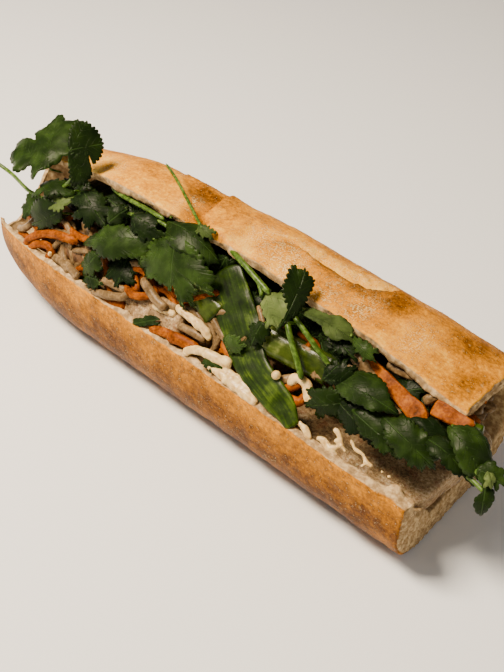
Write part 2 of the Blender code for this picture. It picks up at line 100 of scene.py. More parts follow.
def newMaterial(name):  # the material, what adds nodes to it, and the coordinates that its patterns read
    material = bpy.data.materials.new(name)
    material.use_nodes = True
    add = partial(addNode, material.node_tree)
    return material, add, add("TexCoord", {}, "Object")


def setShader(material, **values):
    tree = material.node_tree
    for name, value in values.items():
        feed(tree, tree.nodes["Principled BSDF"].inputs[name.replace("_", " ")], value)


# the camera, at the photograph's angle

view = {
    "frameWidth": 504, "frameHeight": 672, "focalPixels": 1000.0, "sensor": 36.0,
    "elevation": 39.62, "turn": 36.07, "roll": 6.15, "distance": 391.0, "target": (18.2, -2.0, 30.6), "aimSteps": 30,
}
level = math.radians(view["elevation"])
turned = math.radians(view["turn"])
rolled = math.radians(view["roll"])
flatRight = Vector((math.cos(turned), math.sin(turned), 0.0))
viewAhead = Vector((-math.sin(turned), math.cos(turned), 0.0)) * math.cos(level) - Vector((0, 0, math.sin(level)))
flatUp = flatRight.cross(viewAhead)
viewRight = flatRight * math.cos(rolled) + flatUp * math.sin(rolled)
viewUp = flatUp * math.cos(rolled) - flatRight * math.sin(rolled)
viewPlace = Vector(view["target"]) - viewAhead * view["distance"]

cameraData = bpy.data.cameras.new("camera")
cameraData.sensor_fit = "VERTICAL"
cameraData.sensor_height = view["sensor"]
cameraData.lens = view["focalPixels"] / view["frameHeight"] * view["sensor"]
camera = bpy.data.objects.new("camera", cameraData)
cameraTurn = Matrix((viewRight, viewUp, -viewAhead)).transposed().to_4x4()
camera.matrix_world = Matrix.Translation(viewPlace * mm) @ cameraTurn
bpy.context.scene.collection.objects.link(camera)
bpy.context.scene.camera = camera
print("camera set")


# the loaf's form, in millimetres, as in the CAD

loaf = {
    "tipX": -112.5, "cutX": 112.5, "length": 225.0, "halfWidthAtTip": 30.0, "halfWidthAtCut": 38.4, "backLean": 2.9,
    "lowerHeight": 34.4, "upperHeightAtCut": 25.4, "upperBulge": 12.3, "bulgeMiddle": -18.8, "upperHeightMost": 37.7,
    "bulgeReach": 131.3, "lowerSquareness": 3.4, "upperSquareness": 2.67, "soleSink": 1.1,
    "lowerLip": 180.0, "upperLip": 458.3,  # angles round the section: 270 is the sole, 360 the back, 450 the top
    "tipTaper": 58.0, "tipLeast": 0.2, "tipRoundness": 1.83, "lowerTip": (-14.5, 27.2), "upperTip": (9.8, 45.5),
    "tipAngles": (290.0, 400.0), "tipHeights": (26.4, 59.4),  # where the lower tip gives way to the upper one
    "columns": 168, "lipSteps": 6, "straightRows": 215, "tipRows": 34, "capRows": 12,
}
wall = {  # crust and crumb in mm, and the angles between which the thickness changes
    "lip": 3.0, "floor": 13.5, "back": 9.0, "ceiling": 9.5,
    "floorToBack": (280.0, 350.0), "backToCeiling": (370.0, 420.0),
    "corner": 222.0, "cornerSpread": 18.0, "cornerLess": 3.2, "lowerLip": (166.0, 240.0), "upperLip": (418.3, 470.3),
    "nearCut": (92.0, 110.0), "moreAtCut": 1.6, "lipShorterAtCut": 34.0,
}


def tipScale(x):
    reach = (loaf["tipX"] + loaf["tipTaper"] - x) / loaf["tipTaper"]
    if reach <= 0:
        return 1.0
    left = max(0.0, 1 - reach ** loaf["tipRoundness"]) ** (1 / loaf["tipRoundness"])
    return mix(loaf["tipLeast"], 1.0, left)


def halfWidth(x):
    return mix(loaf["halfWidthAtTip"], loaf["halfWidthAtCut"], (x - loaf["tipX"]) / loaf["length"])


def upperHeight(x):
    across = (x - loaf["bulgeMiddle"]) / loaf["bulgeReach"]
    return loaf["upperHeightAtCut"] + loaf["upperBulge"] * max(0.0, 1 - across * across)


def shrinkToTip(x, y, z, share):
    tip = Vector(loaf["lowerTip"]).lerp(Vector(loaf["upperTip"]), share)
    point = tip + (Vector((y, z)) - tip) * tipScale(x)
    return Vector((x, point.x, point.y))


def loafPoint(x, angle, inward):
    turn = math.radians(angle)
    above = math.sin(turn) > 0
    power = 2 / (loaf["upperSquareness"] if above else loaf["lowerSquareness"])
    reach = upperHeight(x) if above else loaf["lowerHeight"] + loaf["soleSink"]
    y = halfWidth(x) * signedPower(math.cos(turn), power)
    if math.cos(turn) > 0:
        y += loaf["backLean"] * (x - loaf["tipX"]) / loaf["length"]
    z = max(0.0, loaf["lowerHeight"] + reach * signedPower(math.sin(turn), power))
    point = Vector((y, z))
    point += (Vector((0.0, loaf["lowerHeight"])) - point).normalized() * inward
    return shrinkToTip(x, point.x, point.y, smoothStep(*loaf["tipAngles"], angle))


def wallThickness(x, angle):
    nearCut = smoothStep(*wall["nearCut"], x)
    body = mix(wall["floor"] + wall["moreAtCut"] * nearCut, wall["back"], smoothStep(*wall["floorToBack"], angle))
    body = mix(body, wall["ceiling"], smoothStep(*wall["backToCeiling"], angle))
    corner = (angle - wall["corner"]) / wall["cornerSpread"]
    body -= wall["cornerLess"] * math.exp(-corner * corner) * (1 - 2.0 * nearCut)
    first, last = wall["lowerLip"]
    lower = smoothStep(first, last - wall["lipShorterAtCut"] * nearCut, angle)
    upper = 1 - smoothStep(*wall["upperLip"], angle)
    return mix(wall["lip"], body, lower * upper)


def mouthFrame(x):
    x = min(loaf["cutX"], max(loaf["tipX"], x))
    low = loafPoint(x, loaf["lowerLip"], 0.0)
    across = loafPoint(x, loaf["upperLip"], 0.0) - low
    inward = Vector((0.0, across.z, -across.y)).normalized()
    return low, across, inward


def mouthPoint(x, share, depth):  # share of the way from the lower lip to the upper, and mm in from there
    low, across, inward = mouthFrame(x)
    point = low + across * share + inward * depth
    point.x = x
    return point


def nestPoint(x, y, z):  # a place inside the loaf, drawn in with it towards the tip
    y *= halfWidth(x) / halfWidth(0.0)
    if z > loaf["lowerHeight"]:
        z = loaf["lowerHeight"] + (z - loaf["lowerHeight"]) * upperHeight(x) / loaf["upperHeightMost"]
    return shrinkToTip(x, y, z, smoothStep(*loaf["tipHeights"], z))


def viewRay(across, down):
    side = (across - view["frameWidth"] / 2) / view["focalPixels"]
    rise = (down - view["frameHeight"] / 2) / view["focalPixels"]
    return viewAhead + viewRight * side - viewUp * rise


def photoPoint(across, down, depth):  # a place of the photograph, that many mm in from the mouth
    ray = viewRay(across, down)
    x = 0.0
    for _ in range(view["aimSteps"]):
        low, span, inward = mouthFrame(x)
        point = viewPlace + ray * ((low + inward * depth - viewPlace).dot(inward) / ray.dot(inward))
        x = mix(x, point.x, 0.5)
    return point


def planePoint(across, down, centre, facing):  # where that ray meets a plane
    ray = viewRay(across, down)
    return viewPlace + ray * ((centre - viewPlace).dot(facing) / ray.dot(facing))


# mesh tools

def gridSheet(bm, columns, rows, place):  # a grid whose points are put in place, then welded where they meet
    made = bmesh.ops.create_grid(bm, x_segments=columns, y_segments=rows, size=1.0)["verts"]
    for vert in made:
        vert.co = place((vert.co.x + 1) / 2, (vert.co.y + 1) / 2, vert)
    bmesh.ops.remove_doubles(bm, verts=made, dist=0.0004)


def smoothRoute(points, steps):  # Catmull-Rom through the points
    ends = [points[0] * 2 - points[1], *points, points[-1] * 2 - points[-2]]
    route = []
    for k in range(steps + 1):
        t = k / steps * (len(points) - 1)
        i = min(int(t), len(points) - 2)
        t -= i
        a, b, c, d = ends[i:i + 4]
        curve = (2 * b) + (c - a) * t + (2 * a - 5 * b + 4 * c - d) * t ** 2
        route.append(0.5 * (curve + (3 * b - a - 3 * c + d) * t ** 3))
    return route


def headings(route):  # the way the route runs at each of its points
    last = len(route) - 1
    return [(route[min(k + 1, last)] - route[max(k - 1, 0)]).normalized() for k in range(last + 1)]


def wobble(point, size, seed=0.0):
    return noise.noise(point / size + Vector((seed, seed * 0.7, -seed)))


def uneven(point, *layers):  # the sum of noises, each with its height, its size in mm and its seed
    return sum(height * wobble(point, size, seed) for height, size, seed in layers)


def closeEnds(bm, faces):  # caps what is open and turns the faces outwards
    rims = [e for e in bm.edges if e.is_boundary]
    caps = bmesh.ops.holes_fill(bm, edges=rims, sides=0)["faces"]
    bmesh.ops.recalc_face_normals(bm, faces=faces + caps)


# A closed tube along a smooth route: flat presses it thinner along out, and square makes its section boxy.
def addTube(bm, points, radius, sides=8, steps=16, flat=1.0, square=1.0, ends=0.35, rough=0.0, out=None):
    route = smoothRoute(points, steps)
    ahead = headings(route)
    seed = points[0] * 3.1

    def place(u, v, vert):
        k = round(v * steps)
        normal = out or -mouthFrame(route[k].x)[2]
        side = ahead[k].cross(normal).normalized()
        up = side.cross(ahead[k])
        turn = 2 * math.pi * u
        size = radius * (1 - (1 - ends) * max(0.0, 1 - min(v, 1 - v) * steps / 1.6) ** 2)
        size *= 1 + rough * noise.noise(route[k] * 0.35 + seed)
        a = signedPower(math.cos(turn), square) * size
        b = signedPower(math.sin(turn), square) * size * flat
        return route[k] + side * a + up * b

    before = set(bm.faces)
    gridSheet(bm, sides, steps, place)
    closeEnds(bm, [f for f in bm.faces if f not in before])


def finishPiece(bm, name, materials, nodes):
    bmesh.ops.scale(bm, vec=(mm, mm, mm), verts=bm.verts)
    mesh = bpy.data.meshes.new(name)
    bm.to_mesh(mesh)
    bm.free()
    for polygon in mesh.polygons:
        polygon.use_smooth = True
    piece = bpy.data.objects.new(name, mesh)
    bpy.context.scene.collection.objects.link(piece)
    for material in materials:
        mesh.materials.append(material)
    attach(piece, "root")
    if nodes:
        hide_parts(*nodes)
    print("made", name, len(mesh.polygons))
    return piece


def applyModifiers(piece):
    bpy.context.view_layer.update()
    graph = bpy.context.evaluated_depsgraph_get()
    mesh = bpy.data.meshes.new_from_object(piece.evaluated_get(graph))
    piece.modifiers.clear()
    old = piece.data
    piece.data = mesh
    mesh.name = old.name + "Applied"
    bpy.data.meshes.remove(old)


# the loaf's crust and crumb

crust = {
    "ridges": (  # (x, angle) points along the ridge, height towards the lip, drop behind, widths of both, browning
        (((28, 442), (41, 444), (52, 443), (58, 441), (64, 434), (66, 419)), 1.6, 1.9, 9.0, 4.0, 0.34),
        (((15.5, 456), (19, 448), (23, 443.5), (28, 442), (33, 443)), 0.9, 0.9, 5.0, 2.0, 0.26),
        (((9, 458), (-4.7, 456), (-11, 450), (-13.8, 436), (-15.8, 413)), 2.1, 1.5, 9.0, 5.0, 0.12),
        (((-15, 432), (-26, 430), (-38, 420), (-44, 408)), 0.6, 0.6, 6.0, 4.0, 0.10),
    ),
    "brownPatch": ((-36, 431), (-24, 446), (-16, 458), (4, 458), (-5, 455.5), (-12, 449), (-15, 436), (-17, 424)),
    "palePatch": ((17, 440), (22, 431), (34, 428), (44, 421), (62, 415), (64, 425), (58, 437), (42, 441), (28, 439)),
    "flourSpots": ((26, 450, 7), (49, 457, 6), (33, 455, 5), (-62, 452, 7), (-74, 446, 6), (-22, 447, 4),
                   (12, 447, 7), (84, 447, 6), (62, 451, 5)),  # (x, angle, size in mm)
    "brownSpots": ((107, 449, 5), (97, 428, 9), (70, 440, 6)),
    "degree": 0.62,  # mm round the crust for one degree
    "swell": 0.8, "swellLength": 62.0, "lumps": ((0.35, 11.0, 0.0), (0.2, 4.0, 3.0)),
    "torn": ((0.8, 2.2, 9.0), (0.6, 5.0, 4.0)), "sunk": 1.1, "bake": 0.40, "drift": (0.10, 22.0, 5.0),
    "swellFrom": (396.0, 430.0), "reliefFrom": 385, "paintFrom": 380, "brownEdge": 2.0, "paleEdge": 2.5,
    "browner": 0.32, "paler": 0.16, "patchFlour": 0.5, "spotFlour": 0.6, "spotBrown": 0.28,
    # how much the browning changes, and the two angles between which it comes in
    "upperLip": (0.13, 442.0, 458.0), "shoulder": (0.14, 440.0, 405.0), "shoulderFrom": (330.0, 400.0),
    # the next three darken the lower crust towards the sole and lighten it at the lip: painted shade and light,
    # partly also the real bake of the underside
    "underside": (0.36, 330.0, 290.0), "lowerLip": (0.22, 190.0, 180.0), "lowerFlankShade": (0.16, 222.0, 240.0),
}


def crustPlane(x, angle):
    return Vector((x, crust["degree"] * angle))


def alongRoute(point, route):  # nearest place on a route: signed distance, and share of the way along
    best = None
    total = len(route) - 1
    for i in range(total):
        start = crustPlane(*route[i])
        run = crustPlane(*route[i + 1]) - start
        t = min(1.0, max(0.0, (point - start).dot(run) / run.length_squared))
        off = point - start - run * t
        gap = off.length
        if best is None or gap < best[0]:
            best = (gap, math.copysign(gap, run.x * off.y - run.y * off.x), (i + t) / total)
    return best[1], best[2]


def insidePatch(point, corners, soft):  # 1 well inside a patch and 0 outside it
    inside = False
    nearest = 1e9
    for i in range(len(corners)):
        a, b = crustPlane(*corners[i]), crustPlane(*corners[i - 1])
        if (a.y > point.y) != (b.y > point.y):
            if point.x < (b.x - a.x) * (point.y - a.y) / (b.y - a.y) + a.x:
                inside = not inside
        run = b - a
        t = min(1.0, max(0.0, (point - a).dot(run) / run.length_squared))
        nearest = min(nearest, (point - a - run * t).length)
    return smoothStep(-soft, soft, nearest if inside else -nearest)


def crustRelief(x, angle, place):
    rise = crust["swell"] * math.sin(2 * math.pi * x / crust["swellLength"])
    rise *= smoothStep(*crust["swellFrom"], angle)
    rise += uneven(place, *crust["lumps"])
    brown = 0.0
    if angle > crust["reliefFrom"]:  # the slashes and ridges are on top
        point = crustPlane(x, angle)
        for route, height, drop, front, behind, browning in crust["ridges"]:
            gap, along = alongRoute(point, route)
            fade = smoothStep(0.0, 0.12, along) * smoothStep(0.0, 0.12, 1 - along)
            if gap > 0:  # in front of the ridge it falls away slowly, and behind it drops
                rise += height * fade * math.exp(-(gap / front) ** 1.5)
                brown += browning * fade * math.exp(-(gap / front))
            else:
                hollow = drop * math.exp(-(gap / behind) ** 2) * smoothStep(0.0, 0.8, -gap)
                rise += fade * (height * math.exp(gap / 0.5) - hollow)
                brown += 1.6 * browning * fade * math.exp(gap / 1.2)
        sunk = insidePatch(point, crust["brownPatch"], crust["brownEdge"])
        rise -= crust["sunk"] * sunk
        brown += crust["browner"] * sunk
        pale = insidePatch(point, crust["palePatch"], crust["paleEdge"])
        rise += pale * uneven(place, *crust["torn"])
    return rise, brown


def between(change, angle):
    amount, first, last = change
    return amount * smoothStep(first, last, angle)


def crustPaint(x, angle, place, brown):  # browning, and flour
    bake = crust["bake"] + brown + uneven(place, crust["drift"])
    flour = 0.0
    if angle > crust["paintFrom"]:
        point = crustPlane(x, angle)
        pale = insidePatch(point, crust["palePatch"], crust["paleEdge"])
        bake -= crust["paler"] * pale
        flour = crust["patchFlour"] * pale
        for sx, sa, size in crust["flourSpots"]:
            flour += crust["spotFlour"] * math.exp(-((point - crustPlane(sx, sa)).length / size) ** 2)
        for sx, sa, size in crust["brownSpots"]:
            bake += crust["spotBrown"] * math.exp(-((point - crustPlane(sx, sa)).length / size) ** 2)
        bake -= between(crust["upperLip"], angle)  # paler there
    bake += between(crust["shoulder"], angle) * smoothStep(*crust["shoulderFrom"], angle)
    bake += between(crust["underside"], angle)  # darker low down: partly browner nearest the oven's floor, partly painted shade on the lower crust
    # the lower wall: paler at the lip, darker in a band across its middle and towards the sole; the fall from lip to
    # sole is painted light and shade
    if angle < 260:
        bake += 0.10 * math.exp(-((angle - 205) / 14) ** 2)
        bake -= between(crust["lowerLip"], angle)
        bake += between(crust["lowerFlankShade"], angle)
    return bake, flour


def evenAngles(first, last, count):  # angles whose points are evenly spaced round the crust
    tries = 3000
    fine = [mix(first, last, i / tries) for i in range(tries + 1)]
    length = [0.0]
    for a, b in zip(fine, fine[1:]):
        length.append(length[-1] + (loafPoint(0, a, 0) - loafPoint(0, b, 0)).length)
    angles = []
    i = 0
    for k in range(count + 1):
        while length[i] < length[-1] * k / count - 1e-9 and i < tries:
            i += 1
        angles.append(fine[i])
    return angles


# A grid round the section (outside, upper lip, inside, lower lip) and along the loaf, with caps at both ends.
def makeLoaf():
    outer = evenAngles(loaf["lowerLip"], loaf["upperLip"], loaf["columns"])
    inner = outer[::2][::-1]
    steps = loaf["lipSteps"]
    plan = [(a, 0.0, i - i % 2) for i, a in enumerate(outer)]
    plan += [(loaf["upperLip"], k / steps, None) for k in range(1, steps)]
    plan += [(a, 1.0, None) for a in inner]
    plan += [(loaf["lowerLip"], 1 - k / steps, None) for k in range(1, steps)]
    count = len(plan)
    straight, tip, cap = loaf["straightRows"], loaf["tipRows"], loaf["capRows"]
    rows = [(loaf["cutX"], k / cap) for k in range(cap, 0, -1)]
    bend = loaf["tipX"] + loaf["tipTaper"]
    rows += [(mix(loaf["cutX"], bend, i / straight), 0.0) for i in range(straight)]
    rows += [(loaf["tipX"] + loaf["tipTaper"] * (1 - math.sin(math.pi / 2 * i / tip)), 0.0) for i in range(tip + 1)]
    rows += [(loaf["tipX"], k / cap) for k in range(1, cap + 1)]
    bm = bmesh.new()
    bakeLayer = bm.verts.layers.float.new("bake")
    flourLayer = bm.verts.layers.float.new("flour")
    crumbLayer = bm.verts.layers.float.new("crumb")
    last = len(rows) - 1

    def place(u, v, vert):
        angle, share, snap = plan[round(u * count) % count]
        x, cut = rows[round(v * last)]
        if cut == 1.0 and snap is not None:
            angle = outer[snap]
        thick = wallThickness(x, angle)
        bare = loafPoint(x, angle, 0.0)
        lip = math.sin(math.pi * share) if 0 < share < 1 else 0.0
        relief, brown = crustRelief(x, angle, bare)
        bake, flour = crustPaint(x, angle, bare, brown)
        share = mix(share, 0.5, cut)
        crumb = smoothStep(0.02, 0.10, share)
        grain = 0.45 * wobble(bare + Vector((0, share * 6, 0)), 1.6, 2.0)
        grain += 0.7 * wobble(bare + Vector((0, 0, share * 9)), 4.0, 8.0)
        depth = share * thick - relief * (1 - smoothStep(0.0, 0.5, share)) * tipScale(x)
        depth += grain * crumb * (0.4 if lip else 0.6)
        point = loafPoint(x, angle, depth)
        if lip:  # the lip bulges a little past the knife's cut
            low, across, inward = mouthFrame(x)
            toward = across.normalized() * (1 if angle < 300 else -1)
            ragged = 0.9 + 1.3 * grain + 1.4 * wobble(bare, 7.0, 6.0)
            if angle < 300:  # a torn lump of crumb near the cut
                ragged += 3.0 * math.exp(-((x - 106.0) / 3.5) ** 2)
            else:
                ragged += 1.8 * smoothStep(88.0, 100.0, x)
            point += toward * lip * ragged * tipScale(x)
            crumb = max(crumb, 0.6)
        if x == loaf["cutX"]:  # the cut face is torn and open
            pores = noise.noise(point * 0.55) * 1.5 + noise.noise(point * 1.3) * 0.8
            point.x += (0.9 - abs(pores) * 1.2) * smoothStep(0.0, 0.2, cut)
        elif cut:
            point.x -= 2.2 * math.sin(math.pi / 2 * cut)
        if x != loaf["cutX"] and cut and share < 0.3:
            crumb = 0.0
        point.z = max(0.0, point.z)
        vert[bakeLayer] = bake
        vert[flourLayer] = min(1.0, flour)
        vert[crumbLayer] = crumb
        return point

    gridSheet(bm, count, last, place)
    bmesh.ops.dissolve_degenerate(bm, dist=0.0001, edges=bm.edges)
    bmesh.ops.recalc_face_normals(bm, faces=bm.faces)
    return finishPiece(bm, "loaf", [crustMaterial()], ["baguette"])


def crustMaterial():  # oven-baked wheat crust: dry, satin, mottled by blisters and flour, with painted glints in pale specks; open crumb inside
    material, add, coords = newMaterial("bakedWheatCrust")
    patches = add("TexNoise", {"Vector": coords, "Scale": perMm(9.0), "Detail": 4.0, "Roughness": 0.6})
    mottle = add("TexNoise", {"Vector": coords, "Scale": perMm(1.6), "Detail": 4.0, "Roughness": 0.65})
    fine = add("TexNoise", {"Vector": coords, "Scale": perMm(0.55), "Detail": 2.0})
    broad = add("MapRange", {0: patches, 1: 0.3, 2: 0.7, 3: -0.18, 4: 0.18})
    small = add("MapRange", {0: mottle, 1: 0.32, 2: 0.68, 3: -0.2, 4: 0.2})
    bake = add("Attribute", {}, "Fac", attribute_name="bake")
    bake = add("Math", {0: bake, 1: broad}, operation="ADD")
    bake = add("Math", {0: bake, 1: small}, operation="ADD")
    colour = add("ValToRGB", {0: bake}, stops=(
        (0.0, "#E6BC58"), (0.25, "#D8961E"), (0.45, "#BE7A0A"),
        (0.65, "#925A04"), (0.85, "#683C02"), (1.0, "#4A2602")))
    flour = add("Attribute", {}, "Fac", attribute_name="flour")
    # pale specks: flour, and painted glints on the crust's small blisters
    flecks = add("Math", {0: fine, 1: mottle}, operation="MULTIPLY")
    dusted = add("MapRange", {0: flecks, 1: 0.22, 2: 0.34}, **eased)
    flour = add("Math", {0: flour, 1: dusted}, operation="MULTIPLY")
    flecks = add("MapRange", {0: flecks, 1: 0.33, 2: 0.42, 3: 0.0, 4: 0.4}, **eased)
    flour = add("Math", {0: flour, 1: flecks}, operation="MAXIMUM")
    stray = add("TexNoise", {"Vector": coords, "Scale": perMm(2.0)}, 1)
    wander = add("MixRGB", {0: 0.0025, 1: coords, 2: stray})  # so that the pale dots, flour and painted glints on the blisters, aren't round
    dots = add("TexVoronoi", {"Vector": wander, "Scale": perMm(4.2)})
    dots = add("MapRange", {0: dots, 1: 0.26, 2: 0.10}, **eased)
    some = add("MapRange", {0: patches, 1: 0.52, 2: 0.64, 3: 0.0, 4: 0.24}, **eased)
    dots = add("Math", {0: dots, 1: some}, operation="MULTIPLY")
    flour = add("Math", {0: flour, 1: dots}, operation="MAXIMUM")
    # the pale colour of flour, which also paints the glints
    colour = add("Mix", {0: flour, 6: colour, 7: hexColour("#F0D08C")}, 2, data_type="RGBA")
    crumb = add("Attribute", {}, "Fac", attribute_name="crumb")
    pores = add("TexNoise", {"Vector": coords, "Scale": perMm(2.4), "Detail": 3.0, "Roughness": 0.6})
    crumbColour = add("ValToRGB", {0: pores}, stops=((0.3, "#806848"), (0.46, "#9C805A"), (0.64, "#CAB084")))
    bare = add("MapRange", {0: crumb, 1: 0.2, 2: 0.7}, **eased)
    colour = add("Mix", {0: bare, 6: colour, 7: crumbColour}, 2, data_type="RGBA")
    blisters = add("TexVoronoi", {"Vector": coords, "Scale": perMm(2.2), "Smoothness": 1.0}, feature="SMOOTH_F1")
    normal = add("Bump", {"Height": blisters, "Distance": 0.25 * mm, "Strength": 0.25})
    normal = add("Bump", {"Height": mottle, "Distance": 0.35 * mm, "Strength": 0.5, "Normal": normal})
    normal = add("Bump", {"Height": fine, "Distance": 0.12 * mm, "Strength": 0.6, "Normal": normal})
    rough = add("MapRange", {0: crumb, 1: 0.2, 2: 0.7, 3: 0.5, 4: 0.9})
    setShader(material, Base_Color=colour, Normal=normal, Roughness=rough, IOR=1.45, Specular_IOR_Level=0.1)
    return material


makeLoaf()


# the pork

pork = {  # a slice's ends along the loaf, width and height
    "slices": ((37.5, 113.8, 49.0, 20.8), (-35.5, 36.5, 45.5, 19.9), (-84.0, -36.5, 43.0, 20.6)),
    "thickness": 11.6, "flare": 0.06, "slant": 0.12, "middleY": -2.0, "squareness": 7.0, "cuts": 44,
    "scrap": {"ends": ((116, 302, 7.5), (186, 334, 7.0)), "thickness": 5.0, "width": 7.5},
}


def porkMaterial():  # slow-cooked sliced pork: moist, grainy, with ground spice on its face
    material, add, coords = newMaterial("slicedPork")
    grain = add("TexNoise", {"Vector": coords, "Scale": perMm(1.2), "Detail": 6.0, "Roughness": 0.75})
    blotch = add("TexNoise", {"Vector": coords, "Scale": perMm(7.0), "Detail": 3.0})
    value = add("Mix", {0: 0.4, 2: grain, 3: blotch})
    colour = add("ValToRGB", {0: value},
                 stops=((0.38, "#5A432B"), (0.45, "#8E724E"), (0.52, "#B09268"), (0.6, "#DCC6A0")))
    reddish = add("TexNoise", {"Vector": coords, "Scale": perMm(3.5), "Detail": 2.0})
    reddish = add("MapRange", {0: reddish, 1: 0.56, 2: 0.68, 3: 0.0, 4: 0.45}, **eased)
    colour = add("Mix", {0: reddish, 6: colour, 7: hexColour("#7A3818")}, 2, data_type="RGBA")
    spice = add("TexVoronoi", {"Vector": coords, "Scale": perMm(1.8)})
    spots = add("MapRange", {0: spice, 1: 0.16, 2: 0.08}, **eased)
    colour = add("Mix", {0: spots, 6: colour, 7: hexColour("#5C1E08")}, 2, data_type="RGBA")
    rough = add("MapRange", {0: blotch, 1: 0.35, 2: 0.65, 3: 0.3, 4: 0.6})
    normal = add("Bump", {"Height": grain, "Distance": 1.0 * mm, "Strength": 1.0})
    normal = add("Bump", {"Height": spice, "Distance": 0.2 * mm, "Strength": 0.4, "Normal": normal})
    setShader(material, Base_Color=colour, Normal=normal, Roughness=rough, IOR=1.42, Specular_IOR_Level=0.35,
              Subsurface_Weight=0.08, Subsurface_Radius=(0.003, 0.0012, 0.0008))
    return material


def makePork():
    material = porkMaterial()
    for index, (start, end, width, height) in enumerate(pork["slices"], 1):
        bm = bmesh.new()
        bmesh.ops.create_cube(bm, size=2.0)
        bmesh.ops.subdivide_edges(bm, edges=bm.edges, cuts=pork["cuts"], use_grid_fill=True)
        middle = Vector(((start + end) / 2, pork["middleY"], height))
        half = Vector(((end - start) / 2, width / 2, pork["thickness"] / 2))
        for vert in bm.verts:
            bulk = sum(abs(c) ** pork["squareness"] for c in vert.co) ** (1 / pork["squareness"])
            rounded = vert.co / bulk
            place = Vector(c * h for c, h in zip(rounded, half))
            place.y *= 1 + pork["flare"] * rounded.z
            place += middle
            push = uneven(place, (0.9, 9.0, index), (0.4, 2.6, index + 4.0))
            place += (place - middle).normalized() * (push - 0.3)
            place.x += pork["slant"] * (place.y - pork["middleY"])
            vert.co = nestPoint(*place)
        finishPiece(bm, f"porkSlice{index}", [material], [f"pork_slice_{index}"])
    scrap = pork["scrap"]  # a torn piece on top, at the lip
    first, last = (photoPoint(*end) for end in scrap["ends"])
    bm = bmesh.new()
    addTube(bm, [first, first.lerp(last, 0.5), last], scrap["width"], 26, 44, scrap["thickness"] / scrap["width"],
            0.5, 0.6, 0.25)
    for vert in bm.verts:
        vert.co += Vector((0, -0.5, 1)) * uneven(vert.co, (0.5, 3.0, 2.0), (0.3, 1.2, 5.0))
    finishPiece(bm, "porkScrap1", [material], [])


makePork()


# the cores under the shreds and the leaves

cores = {
    "pickles": {"span": (-88.0, 106.0), "back": 23.5, "middle": 37.2, "half": 9.0,
                "front": ((-88, -27), (-40, -27), (-30, -18), (-2, -18), (8, -25), (30, -24), (44, -8), (106, -6))},
    "coriander": {"span": (-84.0, 98.0), "back": 20.0, "middle": 52.0, "half": 3.8, "front": ((-84, -14), (98, -14))},
    "rounds": 60, "steps": 220, "squareness": 0.7, "lumps": ((1.2, 5.0, 1.0), (0.6, 2.0, 2.0)),
}


def darkCoreMaterial(name, low, high):  # what lies in the dark between the pieces, coloured darker than the pieces as painted shade
    material, add, coords = newMaterial(name)
    grain = add("TexNoise", {"Vector": coords, "Scale": perMm(3.0), "Detail": 4.0})
    colour = add("ValToRGB", {0: grain}, stops=((0.35, low), (0.65, high)))
    normal = add("Bump", {"Height": grain, "Distance": 1.0 * mm, "Strength": 0.8})
    setShader(material, Base_Color=colour, Normal=normal, Roughness=0.5, Specular_IOR_Level=0.3)
    return material


def makeCore(name, spec, material, node):
    bm = bmesh.new()

    def place(u, v, vert):
        turn = 2 * math.pi * u
        x = mix(*spec["span"], v)
        fullness = min(1.0, math.sqrt(max(0.0, 1 - abs(2 * v - 1) ** 30)) + 0.02)  # rounded at its ends
        front, back, power = stepsTo(spec["front"], x), spec["back"], cores["squareness"]
        y = (front + back) / 2 + (back - front) / 2 * signedPower(math.cos(turn), power) * fullness
        z = spec["middle"] + spec["half"] * signedPower(math.sin(turn), power) * fullness
        point = nestPoint(x, y, z)
        return point + Vector((0, 0, uneven(point, *cores["lumps"]) * math.sin(turn)))

    gridSheet(bm, cores["rounds"], cores["steps"], place)
    closeEnds(bm, bm.faces[:])
    finishPiece(bm, name, [material], [node])


# both cores are coloured darker than the shreds and leaves: painted shade
makeCore("picklesCore", cores["pickles"], darkCoreMaterial("pickleBedPaintedShade", "#2C1808", "#6E4C28"),
         "pickled_shreds")
makeCore("corianderCore", cores["coriander"], darkCoreMaterial("corianderBedPaintedShade", "#060C01", "#142004"),
         "coriander_bundle")


# the pickled carrot and daikon

# Raw root soaked in vinegar: wet and slightly clear, with a fine grain.
def wetVegetableMaterial(name, low, middle, high, gloss, soft, rough):
    material, add, coords = newMaterial(name)
    grain = add("TexNoise", {"Vector": coords, "Scale": perMm(1.1), "Detail": 3.0, "Roughness": 0.6})
    patch = add("TexNoise", {"Vector": coords, "Scale": perMm(5.0), "Detail": 2.0})
    value = add("Mix", {0: 0.5, 2: grain, 3: patch})
    colour = add("ValToRGB", {0: value}, stops=((0.34, low), (0.5, middle), (0.66, high)))
    normal = add("Bump", {"Height": grain, "Distance": 0.25 * mm, "Strength": 0.6})
    setShader(material, Base_Color=colour, Normal=normal, IOR=1.36, Specular_IOR_Level=gloss, Roughness=rough,
              Subsurface_Weight=soft, Subsurface_Radius=(0.002, 0.0016, 0.0012))
    return material


carrotFinish = wetVegetableMaterial("pickledCarrot", "#4A2202", "#7E3E04", "#A85E0C", 0.1, 0.0, 0.4)
daikonFinish = wetVegetableMaterial("pickledDaikon", "#4A3820", "#6C5638", "#947A56", 0.22, 0.15, 0.3)

